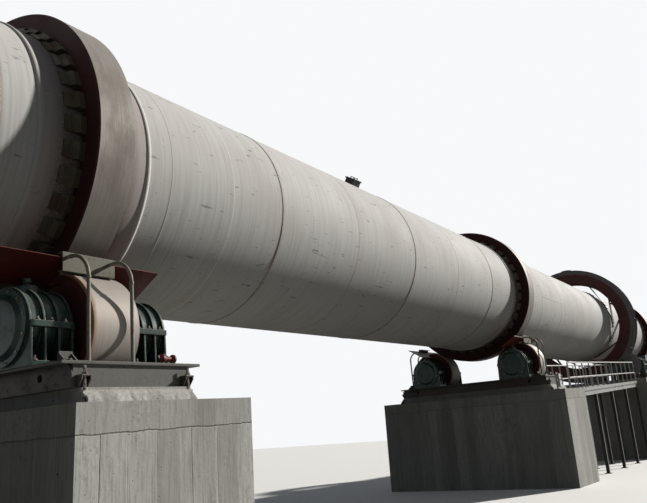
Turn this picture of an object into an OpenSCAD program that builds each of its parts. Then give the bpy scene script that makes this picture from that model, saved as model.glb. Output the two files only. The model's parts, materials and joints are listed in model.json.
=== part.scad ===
// Rotary kiln, a 1:2 scale model in millimetres.
// The kiln tube lies on a slope along +X, from its discharge end up to its feed end.
// The origin is on the ground, under the kiln axis at the middle pier.

/* [Kiln tube] */
// Outside diameter of the steel shell
shell_d = 2000; // [1700:10:2200]
// Plate thickness of the shell
shell_t = 14; // [10:1:24]
// Thickness of the brick lining
lining_t = 100; // [60:5:130]
// Slope of the kiln, in percent
slope_pct = 3.5; // [2.5:0.1:4.5]
// Height of the kiln axis above the ground at the middle pier
axis_h = 3400; // [3200:10:4000]
// From the discharge end to the middle of tyre 1
discharge_l = 2150; // [1700:10:2600]
// From tyre 1 to tyre 2, middle to middle
span_low = 9280; // [7000:10:11000]
// From tyre 2 to tyre 3, middle to middle
span_high = 13720; // [12500:10:14500]
// From the middle of tyre 3 to the feed end
feed_l = 4850; // [3000:10:5200]
// How far the thick shell course under each tyre stands out from the shell
course_step = 5; // [3:1:12]
// Length of the thick shell course on each side of a tyre's middle
course_half_l = 457; // [340:1:560]
// Width of the bright raised ring at the end of each thick course
band_w = 16; // [8:1:30]
// Height of the raised rings above the thick course
band_h = 7; // [4:1:12]
// From the single raised ring near the gear guard to the guard
guard_ring_gap = 120; // [60:5:200]

/* [Kiln ends] */
// Length of the nose ring along the kiln
nose_l = 110; // [80:5:200]
// Lip of the nose ring that covers the outside of the shell
nose_lip_t = 18; // [12:1:30]
// Length of that lip
nose_lip_l = 70; // [40:5:75]
// Number of nose ring castings round the end
nose_n = 24; // [16:1:36]
// Length of the cone at the feed end
cone_l = 260; // [180:10:320]
// Radius of the opening in the feed end cone
cone_hole_r = 690; // [600:10:720]
// Plate thickness of the feed end cone
cone_t = 16; // [10:1:24]

/* [Tyres] */
// Width of a tyre along the kiln
tyre_w = 306; // [260:2:340]
// Height of a tyre's section
tyre_h = 170; // [130:5:200]
// Chamfer on the edges of a tyre
tyre_chamfer = 8; // [4:1:14]
// Number of chair pads round a tyre
pad_n = 36; // [24:1:44]
// How far a chair pad reaches past each side of the tyre
pad_over = 130; // [100:5:170]
// Width of a chair pad round the shell
pad_w = 120; // [80:5:125]
// Thickness of a chair pad
pad_t = 24; // [16:1:34]
// Length of a stop block along the kiln
stop_l = 46; // [30:2:60]
// How far a stop block stands up past the tyre's bore
stop_h = 34; // [25:1:60]

/* [Support rollers] */
// Diameter of a support roller
roller_d = 760; // [700:5:820]
// Width of a support roller
roller_w = 366; // [345:2:390]
// Angle of the rollers from straight below the kiln axis
roller_a = 31; // [29.5:0.5:32]
// Radius of a roller shaft in its bearings
shaft_r = 105; // [85:5:115]
// Chamfer on the edges of a roller
roller_chamfer = 6; // [3:1:12]
// Depth of a roller's rim at its faces
roller_rim = 70; // [50:5:100]
// Depth of the dished recess in each face of a roller
dish_t = 26; // [10:2:60]
// Width of a bearing housing along the shaft
bearing_w = 290; // [250:5:300]
// Gap between a roller and its bearing housings
bearing_gap = 48; // [30:1:52]
// How far the rollers of the end stations stand out past the cold tyre's middle, for the hot shell's growth
growth_s = 20; // [5:1:30]
// Height of a bearing's centre above the base frame
bearing_h = 246; // [220:2:280]
// Outside radius of a bearing housing
housing_r = 228; // [200:2:234]
// Height of the ribs round a bearing housing
housing_rib_h = 20; // [10:1:28]
// Thickness of those ribs
housing_rib_t = 13; // [8:1:20]
// Thickness of a bearing housing's foot
foot_t = 30; // [20:1:40]
// How far the foot reaches past the housing on each side
foot_over = 36; // [20:2:50]
// Thickness of a bearing's domed end cover
cover_t = 36; // [24:1:46]

/* [Heat shields] */
// Distance of a heat shield from the kiln axis
shield_r = 1300; // [1270:5:1350]
// Plate thickness of the heat shields
shield_t = 6; // [4:1:12]
// How far a shield reaches downhill of its tyre
shield_low_l = 760; // [560:10:800]
// How far a shield reaches uphill of its tyre
shield_high_l = 515; // [500:5:760]
// Where a shield's inner edge lies, outwards from the middle of the roller
shield_in = 90; // [0:5:150]
// Distance of the channel that holds a shield from the kiln's middle line
channel_y = 1000; // [980:5:1040]
// Height of that channel
channel_h = 125; // [90:5:150]
// Plate thickness of that channel
channel_t = 8; // [5:1:12]
// Outside diameter of the bent pipes that carry the channel
stand_d = 24; // [16:1:36]
// Bend radius of those pipes
stand_bend = 160; // [80:5:170]
// Half the distance between the two pipes
stand_s = 166; // [120:2:180]
// How far the middle of the two pipes lies downhill of the tyre's middle
stand_shift = 90; // [60:5:100]

/* [Manhole] */
// Distance of the manhole uphill of tyre 1
manhole_s = 4358; // [1500:1:7000]
// Length of the manhole cover along the kiln
manhole_l = 160; // [140:10:240]
// Width of the manhole cover round the kiln
manhole_w = 130; // [110:10:200]
// Height of the manhole cover above the shell
manhole_h = 80; // [60:5:110]
// Thickness of the manhole's cover plate
manhole_t = 14; // [8:1:20]
// How far the cover plate stands out past the manhole's neck
manhole_rim = 10; // [6:1:20]

/* [Base frames and piers] */
// Height of a base frame
frame_h = 150; // [140:5:260]
// Length of a base frame along the kiln
frame_l = 1070; // [1040:10:1160]
// How far the top plate stands out past the side webs
frame_lip = 18; // [6:1:40]
// How far the top plate stands out past the end webs
frame_overhang = 85; // [60:5:110]
// Radius of the lifting holes in the end webs
lift_hole_r = 22; // [15:1:30]
// Distance of the lifting holes from the side webs
lift_hole_in = 285; // [200:5:320]
// Length of a base frame across the kiln
frame_w = 2700; // [2640:10:3000]
// Plate thickness of the base frames
frame_t = 18; // [10:1:26]
// Height of the grout bed under a base frame
grout_h = 100; // [50:5:140]
// Length of the grout bed along the kiln
grout_l = 840; // [600:10:1000]
// Length of a pier along the kiln
pier_l = 1350; // [1240:10:1600]
// Length of a pier across the kiln
pier_w = 3320; // [3160:10:3800]

/* [Girth gear and pinion] */
// Distance of the girth gear uphill of tyre 2
gear_s = 8257; // [6500:1:9200]
// Gear module
gear_m = 22; // [18:1:24]
// Teeth of the girth gear
gear_z = 132; // [126:2:138]
// Teeth of the pinion
pinion_z = 21; // [18:1:25]
// Face width of the girth gear
gear_w = 270; // [220:5:300]
// Depth of the gear rim below its teeth
gear_rim_h = 74; // [50:2:90]
// Thickness taken off each tooth at the pitch circle, as backlash
backlash = 0.8; // [0.6:0.1:1.6]
// Angle of the pinion from straight below the kiln axis
pinion_a = 43; // [38:0.5:46]
// Number of spring plates that carry the girth gear
spring_n = 12; // [8:1:14]
// Thickness of a spring plate
spring_t = 14; // [10:1:20]
// Width of a spring plate along the kiln
spring_w = 190; // [140:5:195]
// Radius of the pin at a spring plate's end
spring_pin_r = 20; // [12:1:26]
// Thickness of the flanges inside the gear rim
rim_flange_t = 16; // [10:1:18]

/* [Gear guard] */
// Gap between the gear's tooth tips and the guard
guard_gap = 66; // [50:2:100]
// Width of the guard along the kiln
guard_w = 380; // [340:10:420]
// Sheet thickness of the guard
guard_t = 5; // [4:1:10]
// Radius of the vent cap on top of the guard
vent_r = 140; // [80:5:170]
// Radius of the round opening in the guard's sides
guard_hole_r = 1200; // [1120:10:1260]
// Height of the guard's outer flanges
guard_flange = 64; // [40:2:80]

/* [Drive] */
// Radius of the pinion shaft
pinion_shaft_r = 62; // [50:2:75]
// Width of a pinion bearing along the shaft
pinion_bearing_w = 150; // [110:5:180]
// Height of the pinion's centre above the drive frame
pinion_h = 240; // [230:5:270]
// Height of the drive frame
drive_frame_h = 120; // [90:5:180]
// Plate thickness of the drive frame
drive_t = 16; // [8:1:24]
// Length of the gearbox along the shaft
gearbox_l = 640; // [500:10:760]
// Width of the gearbox across the shaft
gearbox_w = 560; // [480:10:640]
// Height of the gearbox above its shafts
gearbox_h = 190; // [150:5:240]
// From the output shaft to the input shaft
input_offset = 150; // [120:5:180]
// Length of the main motor along the shaft
motor_l = 640; // [480:10:800]
// Radius of the main motor's barrel
motor_r = 205; // [160:5:225]

/* [Walkway] */
// Slope of the walkway, in percent
walk_slope_pct = 5.9; // [5:0.1:7]
// Width of the walkway
walk_w = 620; // [450:10:700]
// Distance of the walkway's middle out past the roller axes
walk_out = 320; // [280:5:340]
// Height of the handrail above the deck
rail_h = 540; // [480:10:600]
// Outside diameter of the handrail pipes
rail_d = 24; // [16:1:30]
// Number of bays in a railing
rail_bays = 12; // [8:1:16]
// Height of the toe plate at the edge of the deck
toe_h = 60; // [40:5:90]

/* [Hidden] */
$fn = 96;

// Clearances: between seated pieces, between shaft and bearing, and past what turns
seat_gap = 0.3;
shaft_gap = 0.3;
turn_gap = 12;
over = 1;

// The sloped frame of the kiln: s along its axis, y across, n square to the axis
slope_a = atan(slope_pct / 100);
tyre_s = [-span_low, 0, span_high];
discharge_s = tyre_s[0] - discharge_l;
feed_s = tyre_s[2] + feed_l;
function sloped(s, n) = [s * cos(slope_a) - n * sin(slope_a),
                         axis_h + s * sin(slope_a) + n * cos(slope_a)];

// Radii from the shell outwards
shell_r = shell_d / 2;
lining_r = shell_r - shell_t - seat_gap;
bore_r = lining_r - lining_t;
course_r = shell_r + course_step;
pad_in_r = course_r + seat_gap;
pad_out_r = pad_in_r + pad_t;
tyre_in_r = pad_out_r + seat_gap;
tyre_r = tyre_in_r + tyre_h;

// Rollers and their bearings
roller_r = roller_d / 2;
roller_c = tyre_r + roller_r + seat_gap;
roller_y = roller_c * sin(roller_a);
roller_n = -roller_c * cos(roller_a);
bearing_s = roller_w / 2 + bearing_gap + bearing_w / 2;
// Middle of each station's rollers on the kiln axis, and its distance from the tyre's middle
roller_shift = [-growth_s, 0, growth_s];
roller_s = tyre_s + roller_shift;
shaft_end_s = bearing_s + bearing_w / 2 - 20;
hub_r = shaft_r + 60;
foot_half_w = housing_r + foot_over;
screw_y = roller_y + foot_half_w + 100;

// Where the manhole stands at rest: past the top, on the near side
manhole_a = 30;

// Levels below the kiln axis, in the sloped frame
frame_top_n = roller_n - bearing_h;
frame_bottom_n = frame_top_n - frame_h;
pier_top_n = frame_bottom_n - grout_h;
well_s = roller_w / 2 + turn_gap;
well_y0 = roller_y - roller_r - turn_gap;
well_y1 = roller_y + roller_r + turn_gap;

// Heat shields and the channel and pipes that hold them
shield_out = (channel_y - seat_gap - shield_r * sin(roller_a)) / cos(roller_a);
shield_notch = sqrt(pow(roller_r, 2) - pow(roller_c - shield_r, 2)) + turn_gap;
channel_n = -shield_r * cos(roller_a) + shield_out * sin(roller_a);
pipe_y = roller_y + roller_r + turn_gap + stand_d / 2;
channel_low_s = -stand_shift - stand_s - 30;
channel_high_s = -stand_shift + stand_s + 40;

// Gear pair
gear_r = gear_m * gear_z / 2;
pinion_r = gear_m * pinion_z / 2;
gear_tip_r = gear_r + gear_m;
gear_root_r = gear_r - 1.25 * gear_m;
gear_rim_r = gear_root_r - gear_rim_h;
pinion_tip_r = pinion_r + gear_m;
pinion_c = gear_r + pinion_r;
pinion_y = -pinion_c * sin(pinion_a);
pinion_n = -pinion_c * cos(pinion_a);
pinion_w = gear_w + 16;
input_r = 38;
pressure_a = 20;

// Spring plates of the girth gear: the outside of their seats, and the pin at their far end
plate_n = shell_r + seat_gap + 12;
pin_n = plate_n + spring_t / 2;
pin_y = sqrt(pow(gear_rim_r - 48, 2) - pow(pin_n, 2));
pin_c = norm([pin_y, pin_n]);
pin_dir = atan2(pin_n, pin_y);

// Guard
guard_r = gear_tip_r + guard_gap;
guard_pinion_r = pinion_tip_r + guard_gap / 2;

// Drive
drive_top_n = pinion_n - pinion_h;
drive_bottom_n = min(drive_top_n - drive_frame_h, -guard_r - guard_flange - 20);
drive_h = drive_top_n - drive_bottom_n;
pinion_bearing_s = guard_w / 2 + guard_flange + 40 + pinion_bearing_w / 2;
coupling_half = 60;
input_gap = 230;
coupling_s = pinion_bearing_s + pinion_bearing_w / 2 + 130;
shaft_free = 72;
gearbox_s = coupling_s + coupling_half + shaft_free + gearbox_l / 2;
motor_s = gearbox_s + gearbox_l / 2 + input_gap + motor_l / 2;
motor_y = pinion_y - input_offset;
drive_end_s = motor_s + motor_l / 2 + 160;
gear_pier_half_l = pinion_bearing_s + 200;
frame_y0 = -gearbox_w / 2 - 100;
frame_y1 = gearbox_w / 2 + 20;
plinth_y0 = pinion_y + frame_y0 - 140;
plinth_y1 = pinion_y + frame_y1 + 140;
gear_pier_x0 = sloped(gear_s - gear_pier_half_l, drive_bottom_n)[0];

// Walkway
stringer_h = 90;
walk_a = atan(walk_slope_pct / 100);
walk_y = -roller_y - walk_out;
walk_x0 = sloped(tyre_s[1] + pier_l / 2, pier_top_n)[0] + toe_h * sin(walk_a) + seat_gap;
walk_z0 = sloped(tyre_s[1] + pier_l / 2, pier_top_n)[1] - 64;
walk_l = (gear_pier_x0 - stringer_h * sin(walk_a) - seat_gap - walk_x0) / cos(walk_a);

// Places what follows at station s on the kiln axis, y across and n square to the axis
module along(s = 0, y = 0, n = 0) {
    translate([0, 0, axis_h]) rotate([0, -slope_a, 0]) translate([s, y, n]) children();
}

// A round bar along the kiln axis, centred
module bar(r, w) {
    rotate([0, 90, 0]) cylinder(r = r, h = w, center = true);
}

// A ring round the kiln axis, centred
module ring(r_out, r_in, w) {
    difference() {
        bar(r_out, w);
        bar(r_in, w + 2 * over);
    }
}

// A box between two corners
module block(low, high) {
    translate(low) cube(high - low);
}

// A flat outline in the plane across the kiln, as a plate of width w, centred
module across(w) {
    rotate([90, 0, 90]) linear_extrude(w, center = true) children();
}

// A flat outline in the upright plane along the kiln, as a plate of width w, centred
module upright(w) {
    rotate([90, 0, 0]) linear_extrude(w, center = true) children();
}

// The far side as drawn, or its mirror image on the near side
module sided(side) {
    mirror([0, side < 0 ? 1 : 0, 0]) children();
}

// Kiln tube

module shell() {
    mid_s = (discharge_s + feed_s) / 2;
    color("whitesmoke") along() difference() {
        union() {
            translate([mid_s, 0, 0]) bar(shell_r, feed_s - discharge_s);
            for (s = tyre_s) translate([s, 0, 0]) {
                bar(course_r, 2 * course_half_l);
                for (side = [-1, 1])
                    translate([side * (course_half_l - band_w / 2), 0, 0]) bar(course_r + band_h, band_w);
            }
            translate([gear_s - guard_w / 2 - guard_ring_gap, 0, 0]) bar(shell_r + band_h, band_w);
        }
        translate([mid_s, 0, 0]) bar(shell_r - shell_t, feed_s - discharge_s + 2 * over);
    }
}

module refractory_lining() {
    mid_s = (discharge_s + feed_s) / 2;
    color("peru") along(mid_s) ring(lining_r, bore_r, feed_s - discharge_s);
}

module nose_ring() {
    lip_r = shell_r + seat_gap + nose_lip_t;
    color("dimgray") along(discharge_s) difference() {
        union() {
            translate([-seat_gap - nose_l / 2, 0, 0]) ring(lip_r, bore_r + 6, nose_l);
            translate([nose_lip_l / 2 - seat_gap - over, 0, 0])
                ring(lip_r, shell_r + seat_gap, nose_lip_l + 2 * over);
        }
        for (i = [0 : nose_n - 1]) rotate([i * 360 / nose_n, 0, 0])
            block([-nose_l - 2, -2, shell_r + nose_lip_t - 6], [nose_lip_l + 2, 2, shell_r + nose_lip_t + 9]);
    }
}

module feed_end_cone() {
    color("gray") along(feed_s + seat_gap) rotate([0, 90, 0]) rotate_extrude()
        polygon([[shell_r, 0], [shell_r, cone_t], [cone_hole_r + cone_t, cone_l], [cone_hole_r, cone_l],
                 [cone_hole_r, cone_l - cone_t], [bore_r + 4, 0]]);
}

// A rectangular manhole: a neck that is curved to sit on the shell, and a cover plate with two handles
module manhole_cover() {
    half_l = manhole_l / 2;
    half_w = manhole_w / 2;
    handle_half_w = 30;
    handle_h = 24;
    top = shell_r + manhole_h;
    color("dimgray") along(tyre_s[0] + manhole_s) rotate([manhole_a, 0, 0]) {
        difference() {
            block([-half_l, -half_w, 0], [half_l, half_w, top - manhole_t]);
            bar(shell_r + seat_gap, manhole_l + 2 * over);
        }
        block([-half_l - manhole_rim, -half_w - manhole_rim, top - manhole_t - over],
              [half_l + manhole_rim, half_w + manhole_rim, top]);
        for (side = [-1, 1]) translate([side * half_l / 2, 0, top]) difference() {
            block([-4, -handle_half_w, -over], [4, handle_half_w, handle_h]);
            block([-5, 8 - handle_half_w, -2 * over], [5, handle_half_w - 8, handle_h - 8]);
        }
    }
}

// Tyres and the pads under them

module tyre(i) {
    c = tyre_chamfer;
    h = tyre_w / 2;
    color("rosybrown") along(tyre_s[i]) rotate([0, 90, 0]) rotate_extrude()
        polygon([[tyre_in_r, -h], [tyre_r - c, -h], [tyre_r, c - h], [tyre_r, h - c],
                 [tyre_r - c, h], [tyre_in_r, h]]);
}

// A chair pad lies between shell and tyre, and a sloped stop block at each side of it keeps the tyre in place
module tyre_pads(i) {
    half = tyre_w / 2 + pad_over;
    stop = tyre_w / 2 + seat_gap;
    top_r = tyre_in_r + stop_h;
    pad_a = 2 * asin(pad_w / 2 / pad_out_r);
    color("darkolivegreen") along(tyre_s[i]) for (k = [0 : pad_n - 1]) rotate([k * 360 / pad_n, 0, 0])
        rotate([0, 90, 0]) rotate([0, 0, -pad_a / 2]) rotate_extrude(angle = pad_a)
            polygon([[pad_in_r, -half], [pad_in_r + pad_t / 3, -half], [pad_out_r, pad_t - half],
                     [pad_out_r, -stop - stop_l - 30], [top_r, -stop - stop_l],
                     [top_r, -stop], [pad_out_r, -stop],
                     [pad_out_r, stop], [top_r, stop],
                     [top_r, stop + stop_l], [pad_out_r, stop + stop_l + 30],
                     [pad_out_r, half - pad_t], [pad_in_r + pad_t / 3, half], [pad_in_r, half]]);
}

// Support rollers: rim, dished faces and hub turned with the shaft that is shrunk into them

module roller(i, side) {
    c = roller_chamfer;
    w = roller_w / 2;
    e = shaft_end_s;
    collar_r = shaft_r + 20;
    rim_in_r = roller_r - roller_rim;
    half = [[0, e], [shaft_r - c, e], [shaft_r, e - c], [shaft_r, w + 8], [collar_r, w + 8], [collar_r, w],
            [hub_r, w], [hub_r + 8, w - dish_t], [rim_in_r - 8, w - dish_t], [rim_in_r, w],
            [roller_r - c, w], [roller_r, w - c]];
    last = len(half) - 1;
    color("silver") along(roller_s[i], side * roller_y, roller_n) rotate([0, 90, 0]) rotate_extrude()
        polygon(concat(half, [for (k = [0 : last]) [half[last - k][0], -half[last - k][1]]]));
}

// A split bearing housing: round ribbed body, split flange, foot, inspection cover, seal ring towards the
// roller and domed end cover; out is the side away from the roller
module bearing_housing(out) {
    flange_t = 18;
    flange_y = housing_r + 40;
    rib_r = housing_r + housing_rib_h;
    foot_n = seat_gap - bearing_h;
    foot_in = 10;
    rib_step = (bearing_w - housing_rib_t) / 3;
    difference() {
        union() {
            bar(housing_r, bearing_w);
            block([foot_in - bearing_w / 2, -foot_half_w, foot_n],
                  [bearing_w / 2 - foot_in, foot_half_w, foot_n + foot_t]);
            block([-bearing_w / 2, -flange_y, -flange_t], [bearing_w / 2, flange_y, -over / 2]);
            block([-bearing_w / 2, -flange_y, -over], [bearing_w / 2, flange_y, flange_t]);
            for (k = [-1.5 : 1.5]) translate([k * rib_step, 0, 0]) across(housing_rib_t) {
                circle(r = rib_r);
                polygon([[-foot_half_w, foot_n], [foot_half_w, foot_n],
                         [flange_y - 10, 0], [10 - flange_y, 0]]);
            }
            cylinder(r = 70, h = rib_r + 12);
            cylinder(r = 84, h = rib_r);
            translate([-out * (bearing_w / 2 + 6), 0, 0]) bar(shaft_r + 40, 14);
            translate([out * bearing_w / 2, 0, 0]) rotate([0, out * 90, 0]) rotate_extrude()
                polygon([[0, -over], [housing_r + 6, -over], [housing_r + 6, cover_t / 2],
                         [housing_r - 26, cover_t / 2], [housing_r - 60, cover_t], [0, cover_t]]);
        }
        translate([-out * 12, 0, 0]) bar(shaft_r + shaft_gap, bearing_w + 4);
        translate([0, 0, foot_n - 100]) cube([2 * bearing_w, 4 * housing_r, 200], center = true);
    }
}

module bearing_housings(i) {
    color("darkslategray") for (side = [-1, 1]) for (out = [-1, 1])
        along(roller_s[i] + out * bearing_s, side * roller_y, roller_n) bearing_housing(out);
}

// Base frames and piers

module base_frame(i) {
    t = frame_t;
    web_y = frame_w / 2 - frame_lip;
    end_web_s = frame_l / 2 - frame_overhang;
    color("gray") along(tyre_s[i], 0, frame_bottom_n + seat_gap) {
        h = frame_h - seat_gap;
        difference() {
            block([-frame_l / 2, -frame_w / 2, h - t], [frame_l / 2, frame_w / 2, h]);
            roller_wells(i, h);
        }
        for (end = [-1, 1]) {
            translate([roller_shift[i] + end * (well_s + t / 2), 0, 0])
                block([-t / 2, -web_y, 0], [t / 2, web_y, h - t / 2]);
            translate([end * end_web_s, 0, 0]) across(t) end_web_outline(web_y, h - t / 2);
        }
        for (side = [-1, 1]) {
            for (y = [web_y - t / 2, well_y0 - t / 2, well_y1 + t / 2]) translate([0, side * y, 0])
                block([-end_web_s, -t / 2, 0], [end_web_s, t / 2, h - t / 2]);
            for (end = [-1, 1]) translate([roller_shift[i] + end * bearing_s, 0, h])
                sided(side) adjusting_screw();
        }
        difference() {
            block([-end_web_s, -web_y, 0], [end_web_s, web_y, t]);
            roller_wells(i, 0);
        }
    }
}

// An end web, with the upper corners rounded off and two lifting holes
module end_web_outline(half_w, h) {
    round_r = 0.45 * h;
    difference() {
        union() {
            translate([-half_w, 0]) square([2 * half_w, h - round_r]);
            translate([round_r - half_w, 0]) square([2 * (half_w - round_r), h]);
            for (side = [-1, 1]) translate([side * (half_w - round_r), h - round_r]) circle(r = round_r);
        }
        for (side = [-1, 1]) translate([side * (half_w - lift_hole_in), 0.55 * h]) circle(r = lift_hole_r);
    }
}

// The bracket and screw that set a bearing housing's place from its outer side
module adjusting_screw() {
    screw_r = 10;
    block([-45, screw_y, -over], [45, screw_y + frame_t, 70]);
    for (s = [-45, 45 - frame_t / 2]) translate([s + frame_t / 4, screw_y, 0]) rotate([90, 0, 90])
        linear_extrude(frame_t / 2, center = true)
            polygon([[frame_t / 2, -over], [75, -over], [75, 8], [frame_t / 2, 66]]);
    translate([0, roller_y + foot_half_w + seat_gap, screw_r + 6]) rotate([-90, 0, 0])
        cylinder(r = screw_r, h = screw_y + 66 - roller_y - foot_half_w);
    for (y = [screw_y - 14, screw_y + frame_t - over]) translate([0, y, screw_r + 6]) rotate([-90, 0, 0])
        cylinder(r = 17, h = 15, $fn = 6);
}

// The openings of a base frame that its rollers hang in
module roller_wells(i, n) {
    for (side = [-1, 1]) translate([roller_shift[i], side * (well_y0 + well_y1) / 2, n])
        cube([2 * well_s, well_y1 - well_y0, 4 * frame_h], center = true);
}

// A concrete pier with vertical sides, a sloped top and the grout bed of its base frame
module pier(i) {
    s = tyre_s[i];
    top_low = sloped(s - pier_l / 2, pier_top_n);
    top_high = sloped(s + pier_l / 2, pier_top_n);
    color("darkgray") {
        upright(pier_w) polygon([[top_low[0], 0], [top_high[0], 0], top_high, top_low]);
        along(s, 0, pier_top_n) difference() {
            block([-grout_l / 2, -frame_w / 2 - 20, -over], [grout_l / 2, frame_w / 2 + 20, grout_h]);
            roller_wells(i, 2 * frame_h);
        }
    }
}

// Heat shields over the roller bearings: sloped plates between the kiln tube and the bearings

module heat_shields(i) {
    color("maroon") for (side = [-1, 1]) along(tyre_s[i]) sided(side) rotate([roller_a, 0, 0])
        translate([0, 0, -shield_r]) linear_extrude(shield_t) difference() {
            translate([-shield_low_l, shield_in])
                square([shield_low_l + shield_high_l, shield_out - shield_in]);
            translate([roller_shift[i] - well_s, 0]) square([2 * well_s, shield_notch]);
        }
}

// Each shield hangs on a channel that two bent pipes carry from the base frame
module shield_stands(i) {
    top_n = channel_n;
    color("tan") for (side = [-1, 1]) along(tyre_s[i]) sided(side) {
        difference() {
            block([channel_low_s, channel_y - 40, top_n - 0.7 * channel_h],
                  [channel_high_s, channel_y + channel_t, top_n + 0.3 * channel_h]);
            block([channel_low_s - over, channel_y - 41, top_n - 0.7 * channel_h + channel_t],
                  [channel_high_s + over, channel_y, top_n + 0.3 * channel_h - channel_t]);
        }
        for (s = [-stand_shift - stand_s, -stand_shift + stand_s]) {
            translate([s, pipe_y, frame_top_n + seat_gap]) {
                cylinder(d = stand_d, h = top_n - stand_bend - frame_top_n - over);
                cylinder(d = 2.2 * stand_d, h = 8);
            }
            translate([s, pipe_y, top_n - stand_bend]) socket();
            translate([s, pipe_y - stand_bend, top_n - stand_bend]) rotate([90, 0, 90])
                rotate_extrude(angle = 90) translate([stand_bend, 0]) circle(d = stand_d);
            translate([s, pipe_y - stand_bend, top_n]) rotate([90, 0, 0]) socket();
            translate([s, channel_y + channel_t / 2, top_n]) rotate([-90, 0, 0])
                cylinder(d = stand_d, h = pipe_y - stand_bend - channel_y - channel_t / 2 - over);
        }
    }
}

// A short sleeve where a straight pipe meets its bend, centred
module socket() {
    cylinder(d = stand_d + 6, h = 18, center = true);
}

// Girth gear, its springs and the pinion

function involute_a(r, base_r) = r <= base_r ? 0 : tan(acos(base_r / r)) * 180 / PI - acos(base_r / r);

// Outline of a spur gear with z teeth, one of them centred on angle start
function gear_outline(z, start) =
    let (r = gear_m * z / 2,
         base_r = r * cos(pressure_a),
         half_a = 90 / z - backlash / 2 / r * 180 / PI + involute_a(r, base_r),
         radii = [r - 1.25 * gear_m, r - 0.5 * gear_m, r, r + 0.5 * gear_m, r + gear_m],
         steps = len(radii))
    [for (k = [0 : z - 1]) for (j = [0 : 2 * steps - 1])
        let (rising = j < steps,
             q = radii[rising ? j : 2 * steps - 1 - j],
             a = start + k * 360 / z + (rising ? -1 : 1) * (half_a - involute_a(q, base_r)))
        [q * cos(a), q * sin(a)]];

module girth_gear() {
    start = -90 - pinion_a;
    color("dimgray") along(gear_s) {
        across(gear_w) difference() {
            polygon(gear_outline(gear_z, start));
            circle(r = gear_rim_r);
        }
        for (side = [-1, 1]) translate([side * (spring_w / 2 + 2 + rim_flange_t / 2), 0, 0])
            across(rim_flange_t) rim_flange();
    }
}

// A flange inside the gear rim, with one lug for the pin of each spring plate
module rim_flange() {
    lug_r = spring_pin_r + 22;
    difference() {
        union() {
            difference() {
                circle(r = gear_rim_r + 2);
                circle(r = gear_rim_r - 34);
            }
            for (k = [0 : spring_n - 1]) rotate(k * 360 / spring_n) translate([pin_y, pin_n]) {
                circle(r = lug_r);
                rotate(pin_dir) translate([0, -lug_r]) square([gear_rim_r - pin_c, 2 * lug_r]);
            }
        }
        for (k = [0 : spring_n - 1]) rotate(k * 360 / spring_n) translate([pin_y, pin_n])
            circle(r = spring_pin_r + seat_gap);
    }
}

// Each spring plate leaves its seat on the shell as a tangent and is pinned to the flanges of the gear rim
module gear_springs() {
    color("brown") along(gear_s) for (k = [0 : spring_n - 1]) rotate([k * 360 / spring_n, 0, 0]) {
        block([-spring_w / 2, -60, plate_n], [spring_w / 2, pin_y, plate_n + spring_t]);
        translate([0, pin_y, pin_n]) bar(spring_pin_r + 14, spring_w);
        translate([0, pin_y, pin_n]) bar(spring_pin_r, spring_w + 2 * rim_flange_t + 16);
        difference() {
            block([-spring_w / 2, -150, shell_r - 20], [spring_w / 2, 90, plate_n]);
            bar(shell_r + seat_gap, spring_w + 2 * over);
        }
    }
}

module pinion() {
    start = 90 - pinion_a + 180 / pinion_z;
    shaft_low = -pinion_bearing_s - pinion_bearing_w / 2;
    color("dimgray") along(gear_s, pinion_y, pinion_n) {
        across(pinion_w) polygon(gear_outline(pinion_z, start));
        translate([(coupling_s + shaft_low) / 2, 0, 0]) bar(pinion_shaft_r, coupling_s - shaft_low);
        bar(1.3 * pinion_shaft_r, pinion_w + 70);
        translate([coupling_s, 0, 0]) {
            bar(2.1 * pinion_shaft_r, coupling_half);
            bar(1.6 * pinion_shaft_r, 2 * coupling_half);
        }
    }
}

// Gear guard: a sheet casing round the girth gear and the pinion, open towards the shell

module guard_outline(grow) {
    circle(r = guard_r + grow);
    translate([pinion_y, pinion_n]) circle(r = guard_pinion_r + grow);
}

module gear_guard() {
    t = guard_t;
    stiffener_r = guard_r + 0.8 * guard_flange;
    vent_n = guard_r + guard_flange;
    color("saddlebrown") along(gear_s) {
        difference() {
            union() {
                across(guard_w) guard_outline(t);
                for (end = [-1, 1]) translate([end * (guard_w - t) / 2, 0, 0])
                    across(t) guard_outline(guard_flange);
                for (a = [-90 : 30 : 210]) rotate([a, 0, 0])
                    block([-guard_w / 2, guard_r - over, -t / 2], [guard_w / 2, stiffener_r, t / 2]);
                for (side = [-1, 1]) translate([0, side * guard_r * sin(30), 0]) guard_leg();
                cylinder(r = vent_r / 2, h = vent_n);
                translate([0, 0, vent_n]) cylinder(r1 = vent_r, r2 = 0.85 * vent_r, h = vent_r / 4);
            }
            across(guard_w - 2 * t) guard_outline(0);
            bar(guard_hole_r, guard_w + 2 * over);
            translate([0, pinion_y, pinion_n]) bar(pinion_shaft_r + turn_gap, guard_w + 2 * over);
        }
    }
}

// One foot of the guard, from its underside down to the pier
module guard_leg() {
    block([-guard_w / 2, -30, drive_bottom_n + seat_gap], [guard_w / 2, 30, -guard_r * cos(30)]);
    block([-guard_w / 2, -90, drive_bottom_n + seat_gap], [guard_w / 2, 90, drive_bottom_n + 14]);
}

// Drive on its plinth

module gear_pier() {
    top_n = drive_bottom_n;
    low = sloped(gear_s - gear_pier_half_l, top_n);
    high = sloped(gear_s + gear_pier_half_l, top_n);
    y1 = guard_r * sin(30) + 200;
    color("darkgray") translate([0, (plinth_y0 + y1) / 2, 0]) upright(y1 - plinth_y0)
        polygon([[low[0], 0], [high[0], 0], high, low]);
}

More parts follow.
